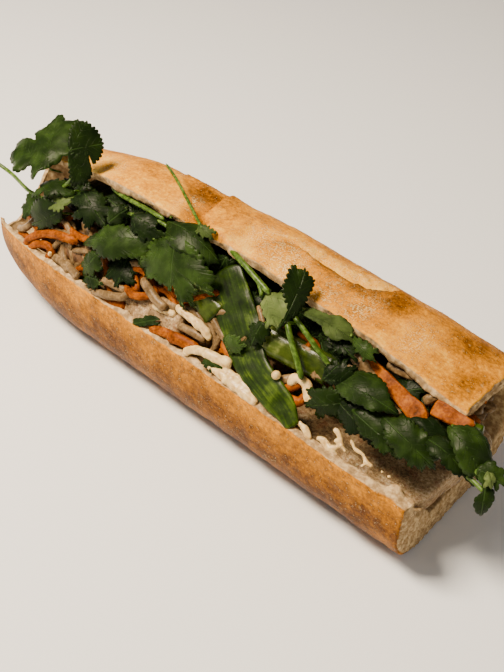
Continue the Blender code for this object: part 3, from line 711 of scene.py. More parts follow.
shreds = {
    # routes as (across, down, depth): photograph pixels, and mm in from the mouth; then radius and flatness
    "carrot": (
        (((27, 248, 2.5), (29, 240, 1.0), (38, 235, 0.2), (52, 234, 0.0), (64, 237, 0.0), (78, 242, 1.5)), 1.9, 0.8),
        (((34, 255, 2.5), (31, 248, 1.8), (38, 244, 1.0), (48, 246, 1.0), (52, 253, 1.8), (46, 259, 2.8)), 1.7, 0.8),
        (((20, 232, 4.0), (26, 236, 3.5), (31, 243, 3.0)), 1.6, 0.8),
        (((124, 287, 1.0), (134, 295, 0.0), (146, 296, 0.0), (158, 291, 1.5)), 1.7, 0.7),
        (((134, 268, 3.0), (135, 282, 2.5), (137, 292, 2.0)), 1.8, 0.7),
        (((98, 296, 2.5), (112, 303, 2.0), (126, 306, 2.5)), 1.7, 0.7),
        (((150, 328, 1.5), (166, 333, 1.0), (184, 341, 1.5)), 1.8, 0.6),
        (((168, 336, 0.5), (180, 340, 0.2), (198, 350, 1.5)), 2.3, 0.5),
        (((46, 262, 3.0), (52, 266, 3.0), (58, 270, 3.5)), 1.6, 0.8),
        (((262, 396, 3.0), (276, 392, 2.5), (294, 386, 2.5), (308, 380, 3.0)), 1.7, 0.8),
        (((286, 398, 2.5), (298, 402, 2.0), (306, 396, 2.5)), 1.8, 0.8),
    ),
    "daikon": (
        (((103, 280, 1.0), (112, 284, 0.0), (126, 291, 0.5)), 1.6, 0.8),
        (((92, 291, 1.5), (106, 295, 0.0), (122, 297, 0.0), (128, 294, 0.5)), 1.7, 0.8),
        (((143, 279, 1.5), (150, 291, 0.0), (158, 302, -0.5), (166, 309, 0.0)), 1.9, 0.8),
        (((66, 262, 3.0), (72, 270, 1.5), (78, 277, 1.0)), 1.8, 0.8),
        (((52, 256, 3.0), (62, 262, 2.5), (70, 272, 2.0)), 1.8, 0.8),
        (((160, 300, 3.0), (172, 306, 2.5), (186, 312, 2.5)), 1.8, 0.8),
        (((180, 326, 2.0), (192, 332, 1.5), (206, 340, 2.0)), 1.7, 0.8),
        (((270, 384, 2.5), (282, 380, 2.0), (298, 378, 2.5)), 1.8, 0.8),
        (((352, 356, 3.0), (362, 366, 2.5), (372, 378, 2.5), (382, 388, 3.0)), 1.8, 0.8),
        (((424, 402, 4.0), (436, 396, 3.5), (450, 394, 4.0)), 1.8, 0.7),
        (((388, 364, 6.0), (400, 371, 5.0), (416, 378, 5.0)), 1.6, 0.7),
        (((356, 352, 1.5), (362, 362, 1.0), (372, 376, 1.2), (378, 386, 2.0)), 1.9, 0.7),
    ),
    "fill": 90, "span": (-92, 104), "depths": (2.6, 5.5), "spread": 0.7, "curl": 0.9,
    "lengths": (16.0, 30.0), "radii": (1.1, 1.6), "carrotShare": 0.36, "ends": (-98, 106),
    "lowest": ((-92, 0.12), (-38, 0.14), (-30, 0.32), (0, 0.30), (10, 0.16), (32, 0.20), (42, 0.52), (104, 0.56)),
    "atCut": 44, "cutBox": ((106.5, 111.5), (-5.0, 22.0), (30.0, 45.5)),
    "cutRadii": (1.3, 1.9), "cutLengths": (14, 22),
}


def makeShreds():
    pick = random.Random(11)
    carrotMesh, daikonMesh = bmesh.new(), bmesh.new()
    for bm, kind in ((carrotMesh, "carrot"), (daikonMesh, "daikon")):
        for route, radius, flat in shreds[kind]:
            addTube(bm, [photoPoint(*p) for p in route], radius, 8, 18, flat, 0.75, 0.6, 0.12)
    for _ in range(shreds["fill"]):  # the bed under those that show
        x = pick.uniform(*shreds["span"])
        least = stepsTo(shreds["lowest"], x)
        share = pick.uniform(least, max(0.5, least + 0.12))
        depth = pick.uniform(*shreds["depths"])
        turn = pick.gauss(0.0, shreds["spread"])
        length = pick.uniform(*shreds["lengths"])
        curl = pick.uniform(-shreds["curl"], shreds["curl"])
        gap = mouthFrame(x)[1].length
        points = []
        for k in range(4):
            t = k / 1.5 - 1
            step = length * t / 2
            across = min(0.7, max(least - 0.03, share + math.sin(turn + curl * t) * step / gap))
            place = x + math.cos(turn + curl * t) * step
            low, high = shreds["ends"]
            points.append(mouthPoint(min(high, max(low, place)), across, depth - 1.2 * (1 - t * t)))
        bm = carrotMesh if pick.random() < shreds["carrotShare"] else daikonMesh
        addTube(bm, points, pick.uniform(*shreds["radii"]), 7, 12, 0.85, 0.75, 0.6, 0.12)
    for _ in range(shreds["atCut"]):  # their ends show in the cut
        tip = nestPoint(*[pick.uniform(*span) for span in shreds["cutBox"]])
        back = Vector((-pick.uniform(*shreds["cutLengths"]), pick.gauss(0, 2.5), pick.gauss(0, 1.5)))
        bow = Vector((0, pick.gauss(0, 1.5), pick.gauss(0, 1.5)))
        bm = carrotMesh if pick.random() < shreds["carrotShare"] else daikonMesh
        addTube(bm, [tip, tip + back / 2 + bow, tip + back], pick.uniform(*shreds["cutRadii"]), 8, 12,
                0.85, 0.6, 0.85, 0.12, Vector((0, 0, 1)))
    finishPiece(carrotMesh, "carrotShreds", [carrotFinish], [])
    finishPiece(daikonMesh, "daikonShreds", [daikonFinish], [])


makeShreds()


# the cucumber and the loose batons

cucumber = {  # places as (x, share from lip to lip, depth); then width and thickness
    "strip": ((8.0, 0.80, 3.5), (18.0, 0.62, 2.8), (28.0, 0.44, 2.2), (39.0, 0.27, 0.6), (50.0, 0.19, 0.2),
              (57.5, 0.135, 0.4), (63.5, 0.05, 0.9)),
    "stripWidth": ((0.0, 15.0), (0.3, 17.0), (0.5, 12.5), (0.8, 10.0), (1.0, 5.0)), "stripThickness": 2.0,
    "slice": ((36.0, 0.52, 3.2), (66.0, 0.60, 3.4), 11.0, 6.0),
    "chip": ((-2.0, 0.56, 2.4), (15.0, 0.44, 2.4), 10.0, 3.6),
    "end": ((105.0, 0.78, 8.0), (119.5, 0.86, 8.0), 10.0, 4.6),
}
batons = {
    "carrot": (((69.0, 0.86, 3.0), (103.0, 0.72, 0.0), ((0.0, 4.2), (0.6, 5.6), (0.85, 6.6), (1.0, 4.4)), 3.4),
               ((102.0, 0.86, 2.8), (117.0, 0.90, 1.0), ((0.0, 5.8), (1.0, 4.6)), 3.0)),
    "daikon": (((69.0, 0.70, 3.0), (79.5, 0.67, 2.8), 3.4, 2.4),),
}


# Washed cucumber: waxy, streaked lengthwise by fine ribs; the shift along the piece makes one end lighter and the
# other darker, painted light and shade.
def cucumberMaterial(name, low, middle, high, streak, spread, shift, rough, scatter):
    material, add, coords = newMaterial(name)
    across = add("Attribute", {}, "Fac", attribute_name="across")
    along = add("Attribute", {}, "Fac", attribute_name="along")
    lengthwise = add("CombineXYZ", {"X": across, "Y": along})
    streaks = add("TexNoise", {"Vector": lengthwise, "Scale": 1.0, "Detail": 4.0, "Roughness": 0.6})
    grain = add("TexNoise", {"Vector": coords, "Scale": perMm(5.0), "Detail": 3.0, "Roughness": 0.6})
    value = add("Mix", {0: streak, 2: grain, 3: streaks})
    # painted light and shade along the piece
    shade = add("MapRange", {0: along, 1: 0.0, 2: shift[0], 3: shift[1], 4: shift[2]})
    value = add("Math", {0: value, 1: shade}, operation="ADD")
    colour = add("ValToRGB", {0: value}, stops=((0.5 - spread, low), (0.5, middle), (0.5 + spread, high)))
    normal = add("Bump", {"Height": streaks, "Distance": 0.2 * mm, "Strength": 0.4})
    normal = add("Bump", {"Height": grain, "Distance": 0.4 * mm, "Strength": 0.4, "Normal": normal})
    setShader(material, Base_Color=colour, Normal=normal, IOR=1.38, Specular_IOR_Level=0.25, Roughness=rough,
              Subsurface_Weight=scatter, Subsurface_Radius=(0.001, 0.002, 0.0005))
    return material


# A solid strip or bar along a route: square is 1 for a round section and less for a boxy one.
def makeBar(name, points, width, thickness, material, node, steps=60, sides=28, square=0.6, rough=0.0):
    bm = bmesh.new()
    acrossLayer = bm.verts.layers.float.new("across")
    alongLayer = bm.verts.layers.float.new("along")
    route = smoothRoute(points, steps)
    whole = sum((b - a).length for a, b in zip(route, route[1:]))
    ahead = headings(route)

    def place(u, v, vert):
        k = round(v * steps)
        side = ahead[k].cross(-mouthFrame(route[k].x)[2]).normalized()
        out = side.cross(ahead[k])
        turn = 2 * math.pi * u
        narrow = 1 - 0.5 * max(0.0, 1 - min(v, 1 - v) * steps / 3.0) ** 2
        cutEdge = 0.5 * wobble(route[k] + Vector((0, 0, 5 * u)), 2.5, 6.0)
        narrow *= 1 + rough * (wobble(route[k], 6.0, 4.0) + cutEdge)
        across = signedPower(math.cos(turn), square)
        wide = stepsTo(width, v) if isinstance(width, tuple) else width
        vert[acrossLayer] = across * wide * 0.5  # streaks a millimetre or two wide, a few centimetres long
        vert[alongLayer] = v * whole * 0.04
        point = route[k] + side * across * wide / 2 * narrow
        point += out * signedPower(math.sin(turn), square) * thickness / 2 * narrow
        return point + out * 0.35 * wobble(point, 5.0, 7.0)

    gridSheet(bm, sides, steps, place)
    closeEnds(bm, bm.faces[:])
    finishPiece(bm, name, [material], [node])


def makeStraight(name, spec, material, node, square=0.8, rough=0.04):
    first, last = mouthPoint(*spec[0]), mouthPoint(*spec[1])
    points = [first.lerp(last, t) for t in (0.0, 0.33, 0.67, 1.0)]
    makeBar(name, points, spec[2], spec[3], material, node, 50, 32, square, rough)


# the skin is darker where the strip starts under the upper lip, and the flesh darker towards its far end: painted
# shade and light
skinFinish = cucumberMaterial(
    "cucumberSkin", "#0A1402", "#1E3004", "#4A6014", 0.45, 0.18, (2.8, -0.08, 0.08), 0.34, 0.05)
fleshFinish = cucumberMaterial(
    "cucumberFlesh", "#182406", "#3A4814", "#7C864A", 0.25, 0.22, (1.2, 0.12, -0.2), 0.2, 0.25)
makeBar("cucumberStrip", [mouthPoint(*p) for p in cucumber["strip"]], cucumber["stripWidth"],
        cucumber["stripThickness"], skinFinish, "cucumber_strip", 110, 36)
makeStraight("cucumberSlice", cucumber["slice"], fleshFinish, "cucumber_slice")
makeStraight("cucumberChip", cucumber["chip"], fleshFinish, "cucumber_chip")
makeStraight("cucumberEnd", cucumber["end"], skinFinish, "cucumber_end")
for number, baton in enumerate(batons["carrot"], 1):
    makeStraight(f"carrotBaton{number}", baton, carrotFinish, f"carrot_baton_{number}",
                 0.22, 0.16)
for number, baton in enumerate(batons["daikon"], 1):
    makeStraight(f"daikonBaton{number}", baton, daikonFinish, f"daikon_baton_{number}",
                 0.4, 0.3)


# the coriander leaves and stems

leafStyle = {
    "toothPitch": 2.5, "toothDepth": 1.1, "notch": 0.32, "deeper": 1.4, "cup": 1.5, "fold": 0.12, "wave": 0.6,
    "tint": 0.0, "thickness": 0.35, "perTooth": 6, "rows": 6, "arcSteps": 30, "rounding": 5, "veinsApart": 0.84,
    "stalkRadius": 0.5,
}
fineTeeth = {"toothPitch": 1.9, "toothDepth": 0.8, "wave": 1.4}
shadeLeaves = {  # small leaves that fill the shade behind, their tint lowered as painted shade: rays as (angle, length)
    "count": 54, "span": (-80, 104), "shares": (0.60, 0.84), "depths": (3.5, 7.0), "sizes": (6.0, 9.0),
    "rays": ((0, 1.0), (55, 0.9), (105, 0.7), (-55, 0.9), (-105, 0.7)), "style": {"tint": -0.2},
}

# Each leaf: its middle and where its stalk joins, as photograph pixels (the middle with its depth); the tips of
# its lobes in order round it, with how deep the edge dips after a tip where that is unusual; the way it faces
# (along the loaf, across the mouth and out of it); and what differs from leafStyle. A tint below zero darkens a
# leaf that lies in shade and one above lightens a lit leaf: painted shade and light.
leaves = (
    ((43, 146, -9.0), (46, 168),
     ((32, 178, 0.3), (12, 170), (5, 152), (13, 135, 0.36), (36, 130, 0.2), (58, 112, 0.12), (79, 118, 0.0),
      (71, 150), (56, 160)),
     (-0.15, 0.45, 1.0),
     {"cup": 1.4, "notch": 0.12, "toothDepth": 0.7, "toothPitch": 3.0, "wave": 1.1, "tint": 0.04}),
    ((86, 148, -8.5), (69, 150),
     ((77, 118), (88, 120), (98, 128), (105, 143), (102, 157), (94, 165, 0.5), (93, 176), (86, 186), (72, 187)),
     (0.9, 0.3, 0.8), {"notch": 0.03, "toothDepth": 0.9, "toothPitch": 1.9, "tint": -0.15, "wave": 0.4}),
    ((50, 186, -6.0), (72, 190),
     ((48, 196), (28, 193), (40, 182), (58, 177), (70, 178)),
     (-0.2, 0.6, 1.0), {}),
    ((52, 200, -4.0), (71, 196),
     ((60, 210), (44, 211), (34, 203), (40, 193), (58, 191)),
     (-0.3, 0.2, 1.0), {"under": True}),
    ((29, 205, -3.6), (38, 196),
     ((25, 192), (21, 206), (23, 219), (35, 215), (40, 206)),
     (-0.2, -0.1, 1.0), {"cup": 0.8, "tint": 0.05}),
    ((46, 221, -2.5), (60, 212),
     ((28, 215), (29, 226), (38, 232), (52, 229), (61, 221)),
     (0.1, -0.6, 1.0), {"cup": 1.0, "tint": -0.15}),
    ((92, 209, -2.5), (82, 190),
     ((68, 198), (70, 216), (86, 229), (106, 227), (118, 213), (106, 196)),
     (0.2, 0.3, 1.0), {"tint": -0.25}),
    ((119, 214, -3.5), (108, 222),
     ((108, 207), (120, 202), (130, 207), (131, 218), (124, 226)),
     (0.6, 0.3, 1.0), {"cup": 2.0, "tint": -0.1}),
    ((145, 230, -2.5), (132, 214),
     ((130, 228), (140, 244), (158, 246), (168, 236), (160, 220)),
     (0.2, 0.2, 1.0), {"tint": -0.2}),
    ((112, 242, -4.0), (152, 238),
     ((142, 256), (118, 259), (95, 252), (73, 240), (98, 230), (125, 225), (148, 223)),
     (-0.1, 0.15, 1.0), {"cup": 3.0, "notch": 0.12, "tint": 0.1}),
    ((90, 265, -2.5), (97, 254),
     ((84, 255), (78, 264), (82, 276), (92, 278), (100, 270)),
     (-0.2, -0.3, 1.0), {"cup": 1.0, "tint": 0.12}),
    ((92, 283, -1.0), (84, 275),
     ((79, 280), (86, 288), (97, 289), (105, 284), (98, 277)),
     (0.0, 0.1, 1.0), {"cup": 1.0}),
    ((118, 272, -0.5), (128, 256),
     ((108, 260), (104, 276), (116, 288), (134, 284), (142, 268)),
     (0.0, 0.2, 1.0), {"cup": 1.0, "tint": -0.3}),
    ((190, 238, -2.5), (166, 216),
     ((164, 232), (184, 252), (208, 262), (220, 258), (208, 238), (186, 222)),
     (0.1, 0.7, 1.0), {"cup": 2.0, "notch": 0.05, "toothDepth": 0.4}),
    ((172, 266, -4.5), (176, 238),
     ((146, 240), (130, 262), (138, 276), (158, 284), (168, 292, 0.3),
       (179, 309), (191, 307), (197, 292, 0.3), (210, 297), (214, 276), (202, 256)),
     (0.0, 0.0, 1.0), {"cup": 2.5, "notch": 0.14, "wave": 1.1, "tint": 0.12}),
    ((206, 231, -2.5), (199, 225),
     ((194, 231), (202, 238), (213, 240), (217, 232), (208, 225)),
     (0.1, 0.3, 1.0), {"cup": 0.8, "under": True, "tint": -0.05, "toothPitch": 1.8}),
    ((257, 336, -3.0), (262, 322),
     ((247, 326), (243, 337), (250, 347), (264, 344), (271, 332)),
     (0.2, -0.2, 1.0), {"cup": 1.0, "tint": -0.1}),
    ((233, 347, -2.0), (226, 336),
     # its high tint paints a sheen on this lit leaf
     ((223, 346), (228, 355), (240, 355), (246, 346), (240, 338)),
     (0.0, -0.5, 1.0), {"cup": 0.6, "tint": 0.3}),
    ((214, 364, -0.2), (206, 356),
     ((200, 362), (212, 374), (226, 376), (228, 366), (216, 357)),
     (0.0, 0.0, 1.0), {"cup": 0.6}),
    ((146, 321, 0.3), (132, 324),
     ((132, 319), (144, 316), (160, 319), (160, 324), (146, 326)),
     (0.0, 0.0, 1.0), {"cup": 0.3, "toothDepth": 0.2}),
    ((278, 308, -5.0), (264, 294),
     ((259, 302), (263, 316), (262, 327), (276, 327), (286, 318), (300, 305), (300, 297), (284, 293)),
     (-0.1, 0.2, 1.0), {"under": True, "notch": 0.16, "toothDepth": 0.5, "tint": 0.14}),
    ((299, 293, -7.0), (284, 322),
     ((279, 332), (287, 306), (283, 286), (295, 263, 0.1), (307, 268), (317, 280), (308, 298), (296, 317)),
     (0.7, 0.3, 0.6), {"cup": 1.0, "notch": 0.06, "toothDepth": 1.0, "toothPitch": 2.0}),
    ((334, 327, -3.5), (299, 308),
     ((312, 304), (330, 315), (354, 332), (362, 345), (344, 340), (322, 328)),
     (0.2, 0.6, 1.0), {"cup": 1.0, "under": True, "notch": 0.05, "toothDepth": 0.3, "tint": -0.08}),
    ((342, 346, -2.0), (330, 330),
     ((324, 340), (332, 351), (346, 356), (358, 364), (364, 352), (350, 338)),
     (0.1, 0.2, 1.0), {"cup": 1.0, "tint": -0.25}),
    ((366, 351, -4.0), (348, 334),
     ((354, 350), (364, 362), (376, 363), (380, 352), (366, 340)),
     (0.2, 0.0, 1.0), {"tint": 0.1}),
    ((341, 374, -3.5), (322, 380),
     ((330, 386), (336, 396, 0.15), (350, 394), (362, 380), (358, 366), (346, 358), (334, 358), (325, 366)),
     (0.3, -0.1, 1.0), {"tint": -0.3}),
    ((325, 400, -2.0), (352, 402),
     ((326, 386), (304, 390), (302, 406), (316, 420), (338, 418)),
     (0.2, -0.3, 1.0), {"cup": 2.0, "tint": -0.15}),
    ((364, 390, -5.0), (330, 376),
     ((336, 390), (352, 402, 0.15), (374, 411), (398, 411), (388, 390), (366, 370), (346, 362)),
     (-0.1, 0.3, 1.0), {"cup": 2.0, "notch": 0.08, "toothDepth": 0.5, "tint": -0.04}),
    ((366, 424, -1.0), (334, 400),
     ((334, 418), (346, 434, 0.2), (362, 440), (372, 448, 0.2), (388, 450), (392, 432), (376, 412), (354, 402)),
     (0.2, -0.2, 1.0), {"cup": 2.0, "notch": 0.10, "tint": -0.35, **fineTeeth}),
    ((384, 436, -3.0), (350, 410),
     ((358, 434, 0.2), (372, 446), (384, 456, 0.2), (398, 460), (408, 458, 0.1), (412, 444), (396, 422), (372, 408)),
     (0.3, -0.1, 1.0), {"cup": 2.0, "notch": 0.12, "tint": -0.08, "stalk": False, **fineTeeth}),
    ((414, 446, -4.0), (378, 412),
     ((384, 440), (396, 458, 0.2), (410, 468), (422, 472, 0.15), (436, 470), (442, 458), (428, 434), (402, 414)),
     (0.3, 0.0, 1.0), {"cup": 2.0, "notch": 0.14, "tint": -0.02, "stalk": False, **fineTeeth}),
    ((430, 434, -2.5), (398, 408),
     ((412, 430), (430, 450, 0.1), (452, 462), (460, 452), (446, 432), (424, 414)),
     (0.1, 0.3, 1.0), {"notch": 0.06, "toothDepth": 0.5, "wave": 1.0, "tint": -0.4}),
    ((450, 456, -4.5), (420, 430),
     ((428, 452, 0.2), (442, 466), (458, 476, 0.15), (478, 484), (476, 468), (458, 448), (436, 432)),
     (0.2, 0.3, 1.0), {"cup": 2.0, "notch": 0.06, "toothDepth": 0.6, "wave": 1.0, "tint": -0.12}),
    ((474, 448, -5.0), (450, 424),
     ((454, 450), (468, 474), (486, 480), (496, 468), (490, 444), (470, 424)),
     (0.4, 0.3, 1.0), {"cup": 3.0, "notch": 0.06, "toothDepth": 0.5, "tint": 0.05}),
    ((485, 501, -3.0), (486, 484),
     ((480, 494), (480, 519), (491, 506), (493, 490)),
     (0.4, -0.4, 1.0), {"cup": 0.8, "notch": 0.05, "toothDepth": 0.4, "stalk": False}),
    ((494, 476, -5.0), (478, 468),
     ((484, 488), (498, 492), (505, 486), (506, 470), (493, 460)),
     (0.4, 0.0, 1.0), {"cup": 0.8, "toothDepth": 0.5, "stalk": False}),
    ((490, 480, -6.3), (488, 471),
     ((484, 478, 0.35), (484, 488, 0.35), (492, 489, 0.35), (496, 481)),
     (0.3, 0.0, 1.0), {"cup": 1.0, "toothDepth": 0.0, "under": True, "tint": 0.2, "stalk": False}),
)


# Stems: routes as (across, down, depth), radius at the start and share of it left at the end.
stems = (
    (((-4, 162, -6), (12, 174, -5), (28, 190, -3), (44, 200, -1)), 0.85),
    (((112, 188, 6), (126, 198, 2), (145, 208, 0), (164, 219, -1)), 0.9),
    (((128, 214, 3), (142, 216, 1), (158, 221, 0), (170, 228, 0)), 0.8),
    (((224, 242, 6), (236, 255, 0), (250, 271, -2.5), (270, 294, -4)), 1.15),
    (((254, 276, -2.5), (259, 284, -3), (262, 296, -3.5)), 0.8),
    (((287, 322, -3), (291, 340, -3.5), (297, 360, -3), (302, 380, -2.0)), 1.15),
    (((294, 316, -3), (306, 333, -3), (318, 350, -2), (330, 366, -1)), 1.0),
    (((452, 446, 2), (464, 458, 0), (476, 470, -3.0), (488, 478, -5)), 1.2),
    (((462, 472, -1), (474, 482, -2), (484, 492, -2.5)), 0.8),
    (((60, 190, -3), (72, 178, -5), (70, 160, -8), (78, 134, -9)), 0.8),
)


# A thin stem that lies on the crust: (x, angle) on the loaf, then its end in the mouth.
crustStem = {
    "route": ((-49.0, 425.5), (-33.0, 443.2), (-13.0, 453.5)), "out": 1.5, "end": (202, 228, -3), "radius": 0.62,
}


# Fresh coriander: a thin satin leaf, with its veins a tone apart and pressed in on top.
def leafMaterial(name, low, middle, high, veinColour, rough, veinDepth):
    material, add, coords = newMaterial(name)
    aside = add("Attribute", {}, "Fac", attribute_name="veinAside")
    along = add("Attribute", {}, "Fac", attribute_name="veinAlong")
    tint = add("Attribute", {}, "Fac", attribute_name="tint")
    mainVein = add("MapRange", {0: aside, 1: 0.34, 2: 0.08}, **eased)
    slope = add("Math", {0: aside, 1: -1.15, 2: along}, operation="MULTIPLY_ADD")
    branch = add("Math", {0: slope, 1: 2.9}, operation="DIVIDE")
    branch = add("Math", {0: branch, 1: 0.5}, operation="PINGPONG")
    sideVein = add("MapRange", {0: branch, 1: 0.06, 2: 0.0}, **eased)
    fade = add("MapRange", {0: aside, 1: 4.5, 2: 0.4, 3: 0.0, 4: 0.6}, **eased)
    sideVein = add("Math", {0: sideVein, 1: fade}, operation="MULTIPLY")
    vein = add("Math", {0: mainVein, 1: sideVein}, operation="MAXIMUM")
    patch = add("TexNoise", {"Vector": coords, "Scale": perMm(6.0), "Detail": 3.0})
    cells = add("TexNoise", {"Vector": coords, "Scale": perMm(0.7), "Detail": 2.0})
    # each leaf's tint, lighter for lit leaves and darker for shaded ones, is painted light and shade on its random
    # tone
    value = add("Math", {0: patch, 1: tint}, operation="ADD")
    colour = add("ValToRGB", {0: value}, stops=((0.2, low), (0.5, middle), (0.85, high)))
    veinShow = add("Math", {0: vein, 1: 0.36}, operation="MULTIPLY")
    colour = add("Mix", {0: veinShow, 6: colour, 7: hexColour(veinColour)}, 2, data_type="RGBA")
    height = add("Math", {0: cells, 1: 0.3}, operation="MULTIPLY")
    height = add("Math", {0: height, 1: vein}, operation="SUBTRACT")
    normal = add("Bump", {"Height": height, "Distance": veinDepth * mm, "Strength": 0.8})
    setShader(material, Base_Color=colour, Normal=normal, IOR=1.42, Specular_IOR_Level=0.1, Roughness=rough,
              Subsurface_Weight=0.1, Subsurface_Radius=(0.0006, 0.0012, 0.0003))
    return material


def stemMaterial():  # fresh coriander stem: smooth, pale and juicy with fine ribs
    material, add, coords = newMaterial("corianderStem")
    grain = add("TexNoise", {"Vector": coords, "Scale": perMm(1.5), "Detail": 3.0})
    colour = add("ValToRGB", {0: grain}, stops=((0.35, "#2A400E"), (0.5, "#405A1A"), (0.65, "#5C7630")))
    normal = add("Bump", {"Height": grain, "Distance": 0.2 * mm, "Strength": 0.4})
    setShader(material, Base_Color=colour, Normal=normal, IOR=1.4, Specular_IOR_Level=0.3, Roughness=0.32,
              Subsurface_Weight=0.2, Subsurface_Radius=(0.001, 0.002, 0.0005))
    return material


# The leaf's edge as evenly spaced places, with rounded teeth but none beside the root.
def leafRim(tips, root, dips, style, seed):
    marks = sorted((math.atan2(p.y, p.x), p.length, i) for i, p in enumerate([root, *tips]))
    first = next(i for i, m in enumerate(marks) if m[2] == 0)
    marks = marks[first:] + [(a + 2 * math.pi, r, k) for a, r, k in marks[:first + 1]]
    curve = []
    for (a0, r0, mark0), (a1, r1, mark1) in zip(marks, marks[1:]):
        earlier = min(mark0, mark1)
        dip = style["deeper"] * style["notch"] * (0.8 + 0.6 * noise.noise(Vector((earlier * 1.9, seed, 0.5))))
        if earlier == 0:  # beside the root
            dip = 0.06
        elif dips[earlier - 1] is not None:
            dip = style["deeper"] * dips[earlier - 1]
        for k in range(style["arcSteps"]):
            t = k / style["arcSteps"]
            reach = r0 * r1 / mix(r1, r0, t) * (1 - dip * math.sin(math.pi * t) ** 3)
            turn = mix(a0, a1, t)
            curve.append(Vector((math.cos(turn), math.sin(turn))) * reach)
    for _ in range(style["rounding"]):
        curve = [(curve[i - 1] + curve[i] * 2 + curve[(i + 1) % len(curve)]) / 4 for i in range(len(curve))]
    length = [0.0]
    for i in range(len(curve)):
        length.append(length[-1] + (curve[(i + 1) % len(curve)] - curve[i]).length)
    total = length[-1]
    teeth = max(6, round(total / style["toothPitch"]))
    count = max(24, round(teeth * style["perTooth"]))
    rim = []
    i = 0
    for k in range(count):
        reach = total * k / count
        while length[i + 1] < reach:
            i += 1
        t = (reach - length[i]) / max(1e-6, length[i + 1] - length[i])
        here, there = curve[i % len(curve)], curve[(i + 1) % len(curve)]
        ahead = (there - here).normalized()
        share = k / count
        bare = smoothStep(0.03, 0.10, min(share, 1 - share))
        bite = style["toothDepth"] * bare * (1 - abs(math.sin(math.pi * teeth * share)) ** 0.7)
        rim.append(here.lerp(there, t) + Vector((-ahead.y, ahead.x)) * bite)
    return rim


def leafAxes(facing):  # two directions in the leaf's plane
    ahead = (Vector((1, 0, 0)) - facing * facing.x).normalized()
    return ahead, facing.cross(ahead)


def toVein(fromRoot, axes):  # how far aside of the nearest vein, and how far along it
    near = [(abs(fromRoot.x * a.y - fromRoot.y * a.x), fromRoot.dot(a)) for a in axes if fromRoot.dot(a) > -0.5]
    return min(near) if near else (fromRoot.length, 0.0)


def addLeaf(bm, layers, centre, facing, tips, root, dips, own, seed):
    style = {**leafStyle, **own}
    ahead, side = leafAxes(facing)
    flatRoot, *flatTips = [Vector(((p - centre).dot(ahead), (p - centre).dot(side))) for p in (root, *tips)]
    rim = leafRim(flatTips, flatRoot, dips, style, seed)
    columns = len(rim)
    calm = [sum((rim[(i + k) % columns] for k in range(-4, 5)), Vector((0, 0))) / 9 for i in range(columns)]
    size = sum(t.length for t in flatTips) / len(flatTips)
    main = max(flatTips, key=lambda t: (t - flatRoot).length) - flatRoot
    main.normalize()
    axes = []
    for tip in sorted(flatTips, key=lambda t: -(t - flatRoot).length):
        axis = (tip - flatRoot).normalized()
        if all(axis.dot(other) < style["veinsApart"] for other in axes):
            axes.append(axis)
    # a random tone, plus the style's painted light and shade
    tint = 0.16 * noise.noise(Vector((seed * 1.7, 0.3, 0.1))) + style["tint"]
    cup, wave = style["cup"], style["wave"]

    def place(u, v, vert):
        share = v ** 0.8
        k = round(u * columns) % columns
        flat = calm[k].lerp(rim[k], v ** 4) * share  # the teeth are cut into the edge alone
        turn = math.atan2(flat.y, flat.x)
        fromRoot = flat - flatRoot
        aside, along = toVein(fromRoot, axes)
        middleGap = abs(fromRoot.x * main.y - fromRoot.y * main.x)
        rise = -style["fold"] * middleGap - cup * (flat.length / size) ** 2
        rise += 1.7 * wave * share * noise.noise(Vector((flat.x, flat.y, seed * 9)) / 8)
        rise += 0.35 * wave * share ** 3 * math.sin(6 * turn + seed * 2)
        rise += 0.04 * min(aside, 3.0)
        for layer, value in zip(layers, (aside, along, tint)):
            vert[layer] = value
        return centre + ahead * flat.x + side * flat.y + facing * (rise + 0.5 * cup)

    before = set(bm.faces)
    gridSheet(bm, columns, style["rows"], place)
    made = [f for f in bm.faces if f not in before]
    bmesh.ops.recalc_face_normals(bm, faces=made)
    up = sum((f.normal.dot(facing) * f.calc_area() for f in made))
    if (up > 0) == own.get("under", False):  # the pale underside shows on some
        bmesh.ops.reverse_faces(bm, faces=made)


def mouthFacing(x, along, across, out):
    low, span, inward = mouthFrame(x)
    return (Vector((1, 0, 0)) * along + span.normalized() * across - inward * out).normalized()


